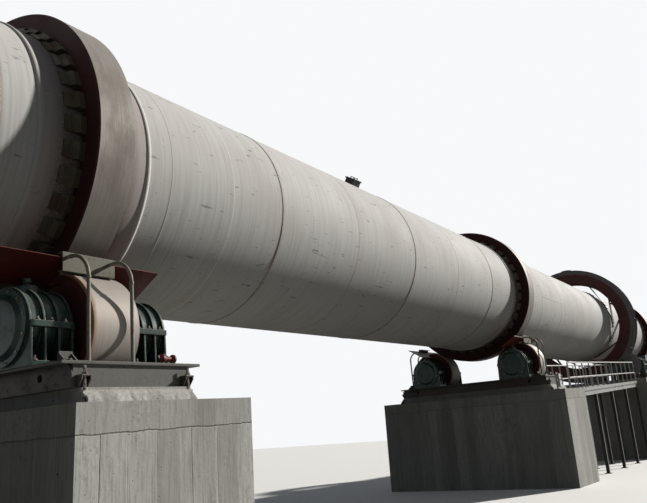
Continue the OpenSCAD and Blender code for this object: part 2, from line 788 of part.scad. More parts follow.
module drive_plinth() {
    top_n = drive_bottom_n;
    low = sloped(gear_s + gear_pier_half_l + seat_gap, top_n);
    high = sloped(gear_s + drive_end_s, top_n);
    color("darkgray") translate([0, (plinth_y0 + plinth_y1) / 2, 0]) upright(plinth_y1 - plinth_y0)
        polygon([[low[0], 0], [high[0], 0], high, low]);
}

module drive_frame() {
    color("gray") along(gear_s, pinion_y, drive_bottom_n + seat_gap) {
        for (end = [-1, 1]) translate([end * pinion_bearing_s, 0, 0])
            frame_bed([-pinion_bearing_w / 2 - 30, -240], [pinion_bearing_w / 2 + 30, 240], 2);
        frame_bed([gearbox_s - gearbox_l / 2 - 20, frame_y0], [drive_end_s - 60, frame_y1], 5);
    }
}

// A welded bed between two plan corners: bottom and top plate, side webs and cross webs
module frame_bed(low, high, webs) {
    t = drive_t;
    h = drive_h - seat_gap;
    step = (high[0] - low[0] - t - 60) / (webs - 1);
    for (n = [0, h - t]) block([low[0], low[1], n], [high[0], high[1], n + t]);
    for (y = [low[1] + 50, high[1] - 50])
        block([low[0] + 10, y - t / 2, t / 2], [high[0] - 10, y + t / 2, h - t / 2]);
    for (k = [0 : webs - 1]) translate([low[0] + 30 + k * step, 0, 0])
        block([0, low[1] + 12, t / 2], [t, high[1] - 12, h - t / 2]);
}

module pinion_bearings() {
    r = pinion_shaft_r;
    w = pinion_bearing_w;
    foot_n = seat_gap - pinion_h;
    color("darkslategray") for (end = [-1, 1]) along(gear_s + end * pinion_bearing_s, pinion_y, pinion_n)
        difference() {
            union() {
                bar(r + 62, w - 20);
                bar(r + 40, w);
                across(w - 40) polygon([[-r - 120, foot_n], [r + 120, foot_n], [r + 62, 0], [-r - 62, 0]]);
                block([-w / 2, -r - 130, foot_n], [w / 2, r + 130, foot_n + 30]);
                block([-w / 2 + 10, -r - 104, -14], [w / 2 - 10, r + 104, 14]);
                cylinder(r = 24, h = r + 84);
            }
            bar(r + shaft_gap, w + 2 * over);
        }
}

module gearbox() {
    l = gearbox_l / 2;
    w = gearbox_w / 2;
    mid_y = -input_offset / 2;
    foot_n = seat_gap - pinion_h;
    color("darkslategray") along(gear_s + gearbox_s, pinion_y, pinion_n) {
        translate([0, mid_y, 0]) {
            across(gearbox_l - 60)
                polygon([[-w + 40, foot_n], [w - 40, foot_n], [w - 40, gearbox_h - 90],
                         [w - 130, gearbox_h], [-w + 130, gearbox_h], [-w + 40, gearbox_h - 90]]);
            block([-l, -w, foot_n], [l, w, foot_n + 34]);
            block([-l + 10, -w + 4, -16], [l - 10, w - 4, 16]);
            for (s = [-l + 70, -60, 60, l - 70]) translate([s, 0, 0]) across(16)
                polygon([[-w + 6, foot_n], [w - 6, foot_n], [w - 16, 0], [w - 26, gearbox_h - 80],
                         [w - 130, gearbox_h + 14], [-w + 130, gearbox_h + 14], [-w + 26, gearbox_h - 80],
                         [-w + 16, 0]]);
            block([-120, -80, gearbox_h - over], [120, 80, gearbox_h + 26]);
        }
        translate([seat_gap / 2 - l - shaft_free / 2, 0, 0]) bar(pinion_shaft_r, shaft_free - seat_gap);
        translate([-l + 10, 0, 0]) bar(pinion_shaft_r + 70, 60);
        for (end = [-1, 1]) translate([end * (l - 15), -input_offset, 0]) bar(92, 60);
        translate([l, 0, 0]) bar(pinion_shaft_r + 60, 40);
        translate([l, -input_offset, 0]) coupled_shaft();
    }
}

module main_motor() {
    l = motor_l / 2;
    fin_n = 40;
    fin_t = 5;
    foot_y = motor_r - 40;
    foot_n = seat_gap - pinion_h;
    color("steelblue") along(gear_s + motor_s, motor_y, pinion_n) {
        across(motor_l - 190) {
            circle(r = motor_r - 18);
            for (k = [0 : fin_n - 1]) rotate((k + 0.5) * 360 / fin_n)
                translate([0, -fin_t / 2]) square([motor_r, fin_t]);
        }
        for (end = [-1, 1]) translate([end * (l - 80), 0, 0]) bar(motor_r, 40);
        translate([-l + 30, 0, 0]) bar(motor_r - 40, 60);
        translate([l - 30, 0, 0]) bar(motor_r - 8, 60);
        for (side = [-1, 1]) {
            block([-l + 100, side * foot_y - 45, foot_n], [l - 100, side * foot_y + 45, foot_n + 26]);
            for (s = [-l + 130, 0, l - 130]) translate([s, 0, 0]) across(20)
                polygon([[side * (motor_r - 80), foot_n], [side * motor_r, foot_n],
                         [side * (motor_r - 30), -60], [side * (motor_r - 90), -120]]);
        }
        block([-100, -110, motor_r - 60], [100, 90, motor_r + 70]);
        translate([-l, 0, 0]) mirror([1, 0, 0]) coupled_shaft();
    }
}

// A shaft end with its coupling half, which meets the other half in the middle of the gap
module coupled_shaft() {
    free = (input_gap - seat_gap) / 2;
    translate([(free - over) / 2, 0, 0]) bar(input_r, free + over);
    translate([free - input_r / 2, 0, 0]) bar(2.2 * input_r, input_r);
}

// Walkway beside the kiln, from the middle pier up to the pier of the girth gear

// Places what follows at distance d up the walkway, y across and n square to its deck
module on_walk(d = 0, y = 0, n = 0) {
    translate([walk_x0, 0, walk_z0]) rotate([0, -walk_a, 0]) translate([d, y, n]) children();
}

module walkway_deck() {
    color("lightgray") on_walk(0, walk_y) {
        block([0, -walk_w / 2, -6], [walk_l, walk_w / 2, 0]);
        for (side = [-1, 1]) translate([0, side * (walk_w / 2 - 20), 0]) {
            block([0, -4, -stringer_h], [walk_l, 4, -5]);
            block([0, -20, -stringer_h], [walk_l, 20, 7 - stringer_h]);
            block([0, side * 20 - 3, -over], [walk_l, side * 20 + 3, toe_h]);
        }
    }
}

module walkway_legs() {
    leg = 60;
    spans = 4;
    first_leg = 250;
    color("gray") for (k = [0 : spans]) for (side = [-1, 1]) {
        d = first_leg + k * (walk_l - 2 * first_leg) / spans;
        low_n = -stringer_h - seat_gap;
        x = walk_x0 + d * cos(walk_a) - low_n * sin(walk_a);
        top = walk_z0 + d * sin(walk_a) + low_n * cos(walk_a) - leg / 2 * tan(walk_a);
        translate([x, walk_y + side * (walk_w / 2 - 20), 0]) {
            block([-leg / 2, -leg / 2, 0], [leg / 2, leg / 2, top]);
            block([-leg, -leg, 0], [leg, leg, 12]);
        }
    }
}

// Pipe railing: posts, knee rail and handrail that turns down at its upper end
module railing(side) {
    step = (walk_l - 200) / rail_bays;
    color("lightgray") on_walk(40, walk_y + side * (walk_w / 2 - 20), seat_gap) {
        for (k = [0 : rail_bays]) translate([k * step, 0, 0]) {
            cylinder(d = rail_d, h = rail_h, $fn = 8);
            cylinder(d = 1.3 * rail_d, h = 40, $fn = 8);
        }
        for (n = [rail_h / 2, rail_h]) translate([0, 0, n])
            rotate([0, 90, 0]) cylinder(d = rail_d, h = walk_l - 200, $fn = 8);
        translate([walk_l - 200, 0, rail_h]) rotate([0, 90 + 50, 0]) cylinder(d = rail_d, h = 130, $fn = 8);
    }
}

// Two small enclosures on a post at the corner of the middle pier
module control_box() {
    color("white") along(tyre_s[1] - pier_l / 2 + 90, -pier_w / 2 + 130, pier_top_n + seat_gap) {
        block([-12, -12, 0], [12, 12, 250]);
        block([-40, -40, 0], [40, 40, 8]);
        block([-65, -60, 40], [65, -8, 130]);
        block([-60, -55, 160], [60, -8, 240]);
    }
}

pier(0);  // pier_1
pier(1);  // pier_2
pier(2);  // pier_3
gear_pier();
drive_plinth();
base_frame(0);  // base_frame_1
base_frame(1);  // base_frame_2
base_frame(2);  // base_frame_3
bearing_housings(0);  // bearing_housings_1
bearing_housings(1);  // bearing_housings_2
bearing_housings(2);  // bearing_housings_3
heat_shields(0);  // heat_shields_1
heat_shields(1);  // heat_shields_2
heat_shields(2);  // heat_shields_3
shield_stands(0);  // shield_stands_1
shield_stands(1);  // shield_stands_2
shield_stands(2);  // shield_stands_3
gear_guard();
drive_frame();
pinion_bearings();
gearbox();
main_motor();
walkway_deck();
walkway_legs();
railing(-1);  // railing_near
railing(1);  // railing_far
control_box();
shell();
refractory_lining();
nose_ring();
feed_end_cone();
manhole_cover();
tyre(0);  // tyre_1
tyre(1);  // tyre_2
tyre(2);  // tyre_3
tyre_pads(0);  // tyre_pads_1
tyre_pads(1);  // tyre_pads_2
tyre_pads(2);  // tyre_pads_3
girth_gear();
gear_springs();
roller(0, -1);  // roller_1_near
roller(0, 1);  // roller_1_far
roller(1, -1);  // roller_2_near
roller(1, 1);  // roller_2_far
roller(2, -1);  // roller_3_near
roller(2, 1);  // roller_3_far
pinion();
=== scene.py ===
import json
import math
import random

import bpy
from mathutils import Matrix, Vector


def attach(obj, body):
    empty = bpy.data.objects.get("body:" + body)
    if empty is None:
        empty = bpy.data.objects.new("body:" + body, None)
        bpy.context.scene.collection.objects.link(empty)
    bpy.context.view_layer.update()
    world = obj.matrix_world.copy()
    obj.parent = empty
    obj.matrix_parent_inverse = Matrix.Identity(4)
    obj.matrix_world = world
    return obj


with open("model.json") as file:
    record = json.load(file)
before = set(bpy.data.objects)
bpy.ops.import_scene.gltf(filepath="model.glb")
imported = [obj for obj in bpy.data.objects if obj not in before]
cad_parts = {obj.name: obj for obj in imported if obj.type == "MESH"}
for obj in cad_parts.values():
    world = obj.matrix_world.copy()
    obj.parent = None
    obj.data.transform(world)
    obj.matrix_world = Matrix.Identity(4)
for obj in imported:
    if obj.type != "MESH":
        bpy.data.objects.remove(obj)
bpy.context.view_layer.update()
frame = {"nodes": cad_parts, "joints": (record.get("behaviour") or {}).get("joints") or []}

# The studio: a pale floor that runs into a pale sky, one broad warm lamp as low as an evening sun, and the camera.
# The camera stands low on the discharge side, near tyre 1, and looks up along the kiln.
joints = {joint["name"]: joint for joint in frame["joints"]}
kiln_origin = Vector(joints["kiln_turn"]["pos_m"])
kiln_axis = Vector(joints["kiln_turn"]["axis"])
across_axis = Vector((0, 1, 0))
upright_axis = kiln_axis.cross(across_axis)
kiln_directions = Matrix((kiln_axis, across_axis, upright_axis)).transposed().to_4x4()


def on_kiln(along, across=0.0, upright=0.0):
    """The point that far along the kiln axis from the middle tyre, across it and square above it."""
    return kiln_origin + along * kiln_axis + across * across_axis + upright * upright_axis


def station(name):
    """How far along the kiln axis the joint of that name lies."""
    return (Vector(joints[name]["pos_m"]) - kiln_origin).dot(kiln_axis)


heat_growth = 0.020
roller_stations = [station(f"roller_{number}_near_turn") for number in (1, 2, 3)]
tyre_stations = [roller_stations[0] + heat_growth, roller_stations[1], roller_stations[2] - heat_growth]
gear_station = station("pinion_turn")

eye = on_kiln(tyre_stations[0] - 2.867, -4.562, -2.044)
heading, pitch, roll = math.radians(32.63), math.radians(15.70), math.radians(-3.82)
camera_data = bpy.data.cameras.new("photo_camera")
camera_data.lens = 37.8
camera_data.clip_start = 0.05
camera_data.clip_end = 2000
camera = bpy.data.objects.new("photo_camera", camera_data)
bpy.context.scene.collection.objects.link(camera)
camera.matrix_world = (Matrix.Translation(eye) @ Matrix.Rotation(heading - math.pi / 2, 4, "Z")
                       @ Matrix.Rotation(pitch + math.pi / 2, 4, "X") @ Matrix.Rotation(roll, 4, "Z"))
bpy.context.scene.camera = camera


def fill(node, feeds):
    """Fills a node's inputs with other nodes' outputs, numbers or colours as red, green and blue."""
    for name, value in feeds.items():
        socket = node.inputs[name]
        if isinstance(value, bpy.types.NodeSocket):
            node.id_data.links.new(value, socket)
        else:
            socket.default_value = (*value, 1) if socket.type == "RGBA" else value


def put(kind, feeds=None, tree=None, **settings):
    """Adds a shader node with its settings, in the tree that its feeds come from unless a tree is given."""
    feeds = feeds or {}
    if tree is None:
        tree = next(value.id_data for value in feeds.values() if isinstance(value, bpy.types.NodeSocket))
    made = tree.nodes.new(kind)
    for name, value in settings.items():
        setattr(made, name, value)
    fill(made, feeds)
    return made


def reckon(operation, *values, clamp=False):
    """The result of one sum on numbers and other nodes' outputs."""
    return put("ShaderNodeMath", dict(enumerate(values)), operation=operation, use_clamp=clamp).outputs[0]


def larger(first, second):
    """The larger of two values."""
    return reckon("MAXIMUM", first, second)


def mixed(share, first, second):
    """Two colours mixed by a share from 0 to 1."""
    return put("ShaderNodeMix", {0: share, 6: first, 7: second}, data_type="RGBA").outputs[2]


def seen_directly(tree):
    """1 for what the eye, a mirror or glass sees, and 0 for light that falls on the object."""
    path = put("ShaderNodeLightPath", tree=tree).outputs
    return larger(larger(path["Is Camera Ray"], path["Is Glossy Ray"]), path["Is Transmission Ray"])


sky = bpy.data.worlds.new("studio")
bpy.context.scene.world = sky
sky.use_nodes = True
sky_tree = sky.node_tree
sky_tree.nodes.clear()
soft_light = put("ShaderNodeBackground", {"Color": (0.66, 0.80, 1.0), "Strength": 0.066}, sky_tree)
backdrop = put("ShaderNodeBackground", {"Color": (0.93, 0.94, 0.96), "Strength": 1.0}, sky_tree)
both = put("ShaderNodeMixShader", {0: seen_directly(sky_tree), 1: soft_light.outputs[0],
                                   2: backdrop.outputs[0]})
put("ShaderNodeOutputWorld", {"Surface": both.outputs[0]})

lamp_data = bpy.data.lights.new("broad_lamp", "SUN")
lamp_data.energy = 5.4
lamp_data.angle = math.radians(2)
lamp_data.color = (1.0, 0.96, 0.90)
lamp = bpy.data.objects.new("broad_lamp", lamp_data)
bpy.context.scene.collection.objects.link(lamp)
lamp_height, lamp_heading = math.radians(28), math.radians(-25)
towards_lamp = Vector((math.cos(lamp_height) * math.cos(lamp_heading),
                       math.cos(lamp_height) * math.sin(lamp_heading), math.sin(lamp_height)))
lamp.matrix_world = towards_lamp.to_track_quat("Z", "Y").to_matrix().to_4x4()

bpy.ops.mesh.primitive_plane_add(size=600, location=(0, 0, 0))
floor = bpy.context.object
floor.name = "studio_floor"
floor_paint = bpy.data.materials.new("studio_floor")
floor_paint.use_nodes = True
floor_tone = mixed(seen_directly(floor_paint.node_tree), (0.070, 0.067, 0.058), (0.80, 0.80, 0.79))
fill(floor_paint.node_tree.nodes["Principled BSDF"], {"Base Color": floor_tone, "Roughness": 0.9})
floor.data.materials.append(floor_paint)

bpy.context.scene.view_settings.view_transform = "Standard"


# Piers: raw concrete cast in place between upright boards, so each wall shows the boards' edges, air holes and
# stains. The grout beds under the base frames are poured later and left rough at the edges.
def new_material(name):
    """A material, its empty Principled shader, and the place on the object that its patterns read."""
    made = bpy.data.materials.new(name)
    made.use_nodes = True
    made.node_tree.nodes.clear()
    shader = put("ShaderNodeBsdfPrincipled", tree=made.node_tree)
    put("ShaderNodeOutputMaterial", {"Surface": shader.outputs[0]})
    return made, shader, put("ShaderNodeTexCoord", tree=made.node_tree).outputs["Object"]


def new_group(name, takes, gives):
    """A shader group, its inputs as they are seen from inside it, and the node that takes its results."""
    made = bpy.data.node_groups.new(name, "ShaderNodeTree")
    for label, kind, value in takes:
        made.interface.new_socket(label, in_out="INPUT",
                                  socket_type="NodeSocket" + kind).default_value = value
    for label, kind in gives:
        made.interface.new_socket(label, in_out="OUTPUT", socket_type="NodeSocket" + kind)
    return made, put("NodeGroupInput", tree=made).outputs, put("NodeGroupOutput", tree=made)


def grouped(group, feeds):
    """Places a group in a material, feeds its named sockets and returns its outputs."""
    return put("ShaderNodeGroup", feeds, node_tree=group).outputs


def times(first, second):
    """Two values multiplied."""
    return reckon("MULTIPLY", first, second)


def plus(first, second):
    """Two values added."""
    return reckon("ADD", first, second)


def less(first, second):
    """The first value less the second."""
    return reckon("SUBTRACT", first, second)


def absolute(value):
    """The value without its sign."""
    return reckon("ABSOLUTE", value)


def summed(*weighted):
    """The sum of patterns, each given with its weight."""
    total = 0.0
    for pattern, weight in weighted:
        total = reckon("MULTIPLY_ADD", pattern, weight, total)
    return total


def stretched(where, scales):
    """The same place with each direction stretched by its own factor."""
    return put("ShaderNodeVectorMath", {0: where, 1: scales}, operation="MULTIPLY").outputs[0]


def from_middle_tyre(where):
    """The same place measured from the middle tyre's centre."""
    return put("ShaderNodeVectorMath", {0: where, 1: kiln_origin}, operation="SUBTRACT").outputs[0]


def lying_along(vector, direction):
    """How far a vector reaches in that direction."""
    return put("ShaderNodeVectorMath", {0: vector, 1: direction}, operation="DOT_PRODUCT").outputs["Value"]


def surface_normal(beside):
    """The direction in which the surface faces, in the tree of the socket beside it."""
    return put("ShaderNodeNewGeometry", tree=beside.id_data).outputs["Normal"]


def clouds(where, scale, detail=2.0, roughness=0.5):
    """Uneven patches from 0 to 1."""
    return put("ShaderNodeTexNoise", {"Vector": where, "Scale": scale, "Detail": detail,
                                      "Roughness": roughness}).outputs[0]


def step(value, low, high, at_low=0.0, at_high=1.0):
    """A soft change from one number to another as the value goes from low to high."""
    return put("ShaderNodeMapRange", {"Value": value, "From Min": low, "From Max": high, "To Min": at_low,
                                      "To Max": at_high}, interpolation_type="SMOOTHSTEP").outputs[0]


def raised(height, distance, rounded=None):
    """The surface's direction, or the rounded one given, with that height pattern pressed into it."""
    feeds = {"Height": height, "Distance": distance}
    if rounded is not None:
        feeds["Normal"] = rounded
    return put("ShaderNodeBump", feeds).outputs[0]


def dressed(material, *nodes):
    """Gives CAD nodes their material."""
    for node in nodes:
        for slot in frame["nodes"][node].material_slots:
            slot.material = material


def marks_of_rain():
    """Streaks that run straight down, from 0 to 1, with a width that the material sets."""
    group, given, result = new_group("marks_of_rain",
                                     [("Place", "Vector", (0, 0, 0)), ("Fineness", "Float", 6.0)],
                                     [("Mask", "Float")])
    uneven = clouds(stretched(given["Place"], (1, 1, 0.05)), given["Fineness"], 3.0, 0.6)
    fill(result, {"Mask": step(uneven, 0.50, 0.72)})
    return group


def settled_dust():
    """Where dust lies: on what faces up, in uneven patches."""
    group, given, result = new_group("settled_dust",
                                     [("Place", "Vector", (0, 0, 0)), ("Patch", "Float", 4.0)],
                                     [("Mask", "Float")])
    upward = step(lying_along(surface_normal(given["Place"]), (0, 0, 1)), 0.35, 0.95)
    patchy = step(clouds(given["Place"], given["Patch"], 5.0, 0.65), 0.32, 0.68)
    fill(result, {"Mask": times(upward, patchy)})
    return group


rain_group = marks_of_rain()
dust_group = settled_dust()


roller_place = Vector(joints["roller_1_far_turn"]["pos_m"]) - kiln_origin
roller_across = roller_place.dot(across_axis)
roller_upright = roller_place.dot(upright_axis)
frame_top = roller_upright - 0.246
frame_bottom = frame_top - 0.150
pier_top = frame_bottom - 0.100


def cast_concrete():
    """Pale grey concrete: form boards below, a smoother last lift above a ragged pour joint, pits, stains and lime."""
    material, shader, place = new_material("cast_concrete")
    position = put("ShaderNodeSeparateXYZ", {0: place})
    facing = put("ShaderNodeSeparateXYZ", {0: surface_normal(place)})
    faces_x = step(absolute(facing.outputs[0]), 0.4, 0.6)
    wall = step(absolute(facing.outputs[2]), 0.7, 0.5)
    height = lying_along(from_middle_tyre(place), upright_axis)
    uneven = clouds(place, 4.0, 5.0, 0.7)
    above = plus(less(height, pier_top - 0.145), times(uneven, 0.034))
    last_lift = step(above, -0.002, 0.002)
    pour_joint = times(step(absolute(above), 0.006, 0.001), wall)
    along_wall = put("ShaderNodeMix", {0: faces_x, 2: position.outputs[0], 3: position.outputs[1]}).outputs[0]
    boards_at = plus(along_wall, times(clouds(place, 1.3, 2.0), 0.03))
    board_feeds = {"W": boards_at, "Scale": 6.0, "Randomness": 0.9}
    edges = put("ShaderNodeTexVoronoi", board_feeds, voronoi_dimensions="1D", feature="DISTANCE_TO_EDGE")
    boards = put("ShaderNodeTexVoronoi", board_feeds, voronoi_dimensions="1D").outputs["Color"]
    board = put("ShaderNodeSeparateColor", {0: boards})
    boarded = times(wall, less(1.0, last_lift))
    seam = times(step(edges.outputs["Distance"], 0.030, 0.0), boarded)
    seam = times(seam, step(board.outputs[1], 0.55, 0.8, 0.12, 1.0))
    grain = clouds(stretched(place, (26, 26, 1.6)), 3.0, 4.0, 0.7)
    blotches = clouds(stretched(place, (1, 1, 0.45)), 2.6, 6.0, 0.65)
    sand = clouds(place, 160.0, 3.0, 0.7)
    mottle = times(step(clouds(place, 30.0, 4.0, 0.7), 0.52, 0.62), step(blotches, 0.48, 0.62))
    pits = put("ShaderNodeTexVoronoi", {"Vector": place, "Scale": 17.0, "Randomness": 1.0})
    pit_size = put("ShaderNodeSeparateColor", {0: pits.outputs["Color"]}).outputs[1]
    pit = step(less(times(reckon("POWER", pit_size, 5.0), 0.16), pits.outputs["Distance"]), -0.015, 0.015)
    rain = grouped(rain_group, {"Place": place, "Fineness": 4.2})["Mask"]
    tone = mixed(step(blotches, 0.32, 0.66), (0.41, 0.41, 0.385), (0.53, 0.53, 0.505))
    tone = mixed(times(boarded, step(board.outputs[0], 0.0, 1.0, 0.0, 0.65)), tone, (0.29, 0.29, 0.265))
    tone = mixed(times(last_lift, 0.60), tone, (0.35, 0.35, 0.33))
    tone = mixed(step(grain, 0.40, 0.68, 0.0, 0.60), tone, (0.235, 0.235, 0.21))
    tone = mixed(times(mottle, 0.55), tone, (0.21, 0.21, 0.19))
    tone = mixed(times(rain, 0.40), tone, (0.20, 0.19, 0.165))
    dark_lines = larger(times(seam, 0.7), times(pour_joint, 0.55))
    tone = mixed(dark_lines, tone, (0.11, 0.11, 0.095))
    tone = mixed(pit, tone, (0.06, 0.058, 0.05))
    dust = grouped(dust_group, {"Place": place, "Patch": 3.0})["Mask"]
    tone = mixed(times(dust, 0.4), tone, (0.46, 0.44, 0.40))
    relief = summed((times(board.outputs[0], boarded), 0.6), (seam, -1.0), (pour_joint, -1.2), (grain, 0.35),
                    (uneven, 1.6), (sand, 0.10), (pit, -1.5))
    fill(shader, {"Base Color": tone, "Roughness": step(sand, 0.2, 0.8, 0.78, 0.98),
                  "Specular IOR Level": 0.1, "Normal": raised(relief, 0.0032)})
    return material


concrete = cast_concrete()
dressed(concrete, "pier_1", "pier_2", "pier_3", "gear_pier", "drive_plinth")


def alone(piece):
    """Selects that piece and no other, and makes it the active one."""
    bpy.ops.object.select_all(action="DESELECT")
    piece.select_set(True)
    bpy.context.view_layer.objects.active = piece


def shift(along, across, upright):
    """A move by that much in the directions of the place that it follows."""
    return Matrix.Translation((along, across, upright))


def at_kiln(along, across=0.0, upright=0.0):
    """A place beside the kiln, with X along the kiln, Y across it and Z square to both."""
    return Matrix.Translation(on_kiln(along, across, upright)) @ kiln_directions


def outwards(side):
    """A turn that points Y away from the kiln on its far side, 1, or its near side, -1."""
    return Matrix.Rotation(math.pi if side < 0 else 0, 4, "Z")


def end_on(side):
    """A turn that points Z along the kiln: uphill for 1, downhill for -1."""
    return Matrix.Rotation(side * math.pi / 2, 4, "Y")


def moved(piece, along, across, upright):
    """The same piece, moved to that point."""
    piece.location = (along, across, upright)
    return piece


def joined(name, pieces):
    """One piece made of several, each left in its place, with the places kept in the mesh."""
    bpy.ops.object.select_all(action="DESELECT")
    for piece in pieces:
        piece.select_set(True)
    bpy.context.view_layer.objects.active = pieces[0]
    if len(pieces) > 1:
        bpy.ops.object.join()
    bpy.ops.object.transform_apply(location=True, rotation=True, scale=True)
    pieces[0].name = pieces[0].data.name = name
    return pieces[0]


def repeated(name, pattern, places):
    """One piece with a copy of the pattern at each place. The pattern itself goes."""
    copies = []
    for place in places:
        copy = pattern.copy()
        copy.data = pattern.data.copy()
        bpy.context.scene.collection.objects.link(copy)
        copy.matrix_world = place
        copies.append(copy)
    bpy.data.objects.remove(pattern)
    bpy.context.view_layer.update()
    return joined(name, copies)


def finished(piece, material, body):
    """Gives a new piece its material and the body that carries it."""
    piece.data.materials.clear()
    piece.data.materials.append(material)
    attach(piece, body)


def placed(name, pattern, places, material, body):
    """A copy of the pattern at each place, as one finished piece."""
    finished(repeated(name, pattern, places), material, body)


def box_between(low, high, edge=0.0):
    """A block between two corners, with its edges broken by a bevel."""
    low, high = Vector(low), Vector(high)
    bpy.ops.mesh.primitive_cube_add(size=1, location=(low + high) / 2)
    made = bpy.context.object
    made.scale = high - low
    bpy.ops.object.transform_apply(location=True, rotation=True, scale=True)
    if edge:
        bpy.ops.object.mode_set(mode="EDIT")
        bpy.ops.mesh.select_all(action="SELECT")
        bpy.ops.mesh.bevel(offset=edge, segments=1)
        bpy.ops.object.mode_set(mode="OBJECT")
    return made


def turned_part(radii, sides=32, smooth=True):
    """A part turned about Z: its outline as (radius, height) pairs from the bottom up."""
    bpy.ops.mesh.primitive_circle_add(vertices=sides, radius=radii[0][0], fill_type="NGON",
                                      location=(0, 0, radii[0][1]))
    made = bpy.context.object
    bpy.ops.object.transform_apply(location=True)
    bpy.ops.object.mode_set(mode="EDIT")
    bpy.ops.mesh.select_all(action="SELECT")
    for (radius, height), (next_radius, next_height) in zip(radii, radii[1:]):
        bpy.ops.mesh.extrude_region_move(TRANSFORM_OT_translate={"value": (0, 0, next_height - height)})
        share = next_radius / radius
        bpy.ops.transform.resize(value=(share, share, 1), center_override=(0, 0, next_height))
    bpy.ops.mesh.select_all(action="SELECT")
    bpy.ops.mesh.normals_make_consistent(inside=False)
    bpy.ops.object.mode_set(mode="OBJECT")
    if smooth:
        alone(made)
        bpy.ops.object.shade_smooth_by_angle(angle=math.radians(35))
    return made


def hex_bolt(size, stub=0.0):
    """A hexagon head or nut on a washer, seated at the origin and pointing up Z, with a thread end if asked."""
    head = turned_part([(0.95 * size, 0.18 * size), (0.95 * size, 0.72 * size), (0.78 * size, 0.86 * size)],
                       6, False)
    washer = turned_part([(1.25 * size, 0), (1.25 * size, 0.18 * size)], 16, False)
    parts = [head, washer]
    if stub:
        parts.append(turned_part([(0.5 * size, 0.5 * size), (0.5 * size, stub),
                                  (0.4 * size, stub + 0.1 * size)], 10))
    return joined("bolt_pattern", parts)


def bolt_steel():
    """Blackened steel with rust round the edges and grey where spanners have rubbed."""
    material, shader, place = new_material("bolt_steel")
    rust = step(clouds(place, 45.0, 4.0, 0.65), 0.42, 0.62)
    tone = mixed(rust, (0.15, 0.145, 0.135), (0.115, 0.062, 0.038))
    fill(shader, {"Base Color": tone, "Metallic": less(0.8, times(rust, 0.8)),
                  "Roughness": step(rust, 0.0, 1.0, 0.42, 0.85),
                  "Normal": raised(clouds(place, 180.0, 3.0), 0.001)})
    return material


dark_steel = bolt_steel()


def bolted(name, bolt, places, body):
    """A bolt of blackened steel at each place."""
    placed(name, bolt, places, dark_steel, body)


def ring_places(seat, side, count, radius, start=0.0):
    """Places evenly round the X axis of a seat, each with Z along that axis."""
    found = []
    for number in range(count):
        angle = start + number * 2 * math.pi / count
        found.append(seat @ shift(0, radius * math.sin(angle), radius * math.cos(angle)) @ end_on(side))
    return found


# Rough mortar that was pushed in under each base frame by hand: low lumps round the cast bed.
lumps = random.Random(4)
mortar = []
for tyre_at in tyre_stations:
    for side in (-1, 1):
        bpy.ops.mesh.primitive_grid_add(x_subdivisions=90, y_subdivisions=16, size=1)
        lump = bpy.context.object
        for vertex in lump.data.vertices:
            reach, outward = vertex.co.x, vertex.co.y + 0.5
            ragged = math.sin(13 * reach + 2 * side) + 0.6 * math.sin(31 * reach) + 0.3 * math.sin(77 * reach
                                                                                                   + 1)
            fall = max(0.0, 1 - outward ** 1.6 * (1 + 0.06 * ragged)) ** 0.7
            vertex.co = Vector((0.84 * reach + 0.008 * math.sin(9 * outward + 20 * reach),
                                (0.062 + 0.008 * ragged) * outward + lumps.uniform(-0.002, 0.002),
                                0.085 * fall + lumps.uniform(-0.002, 0.002)))
        alone(lump)
        bpy.ops.object.modifier_add(type="SOLIDIFY")
        lump.modifiers[0].thickness = 0.02
        lump.modifiers[0].offset = -1
        bpy.ops.object.modifier_apply(modifier=lump.modifiers[0].name)
        bpy.ops.object.shade_smooth_by_angle(angle=math.radians(40))
        lump.matrix_world = at_kiln(tyre_at, side * 1.366, pier_top) @ outwards(side)
        mortar.append(lump)
finished(joined("grout_edges", mortar), concrete, "foundation")


# Base frames: welded boxes of thick plate on the grout in worn grey paint, with painted shade, near black, on their
# end faces.
# Anchor bolts in chairs at both ends of each frame hold it down to the pier.
def worn_edges():
    """Where the edges of a piece are rubbed bare, and its direction with those edges slightly rounded."""
    group, given, result = new_group("worn_edges", [("Place", "Vector", (0, 0, 0)), ("Wear", "Float", 1.0)],
                                     [("Mask", "Float"), ("Rounded", "Vector")])
    rounded = put("ShaderNodeBevel", {"Radius": 0.006}, group, samples=4).outputs[0]
    edge = step(lying_along(rounded, surface_normal(rounded)), 0.995, 0.86)
    broken = step(clouds(given["Place"], 22.0, 4.0, 0.7), 0.34, 0.60)
    mask = reckon("MULTIPLY", times(edge, broken), given["Wear"], clamp=True)
    fill(result, {"Mask": mask, "Rounded": rounded})
    return group


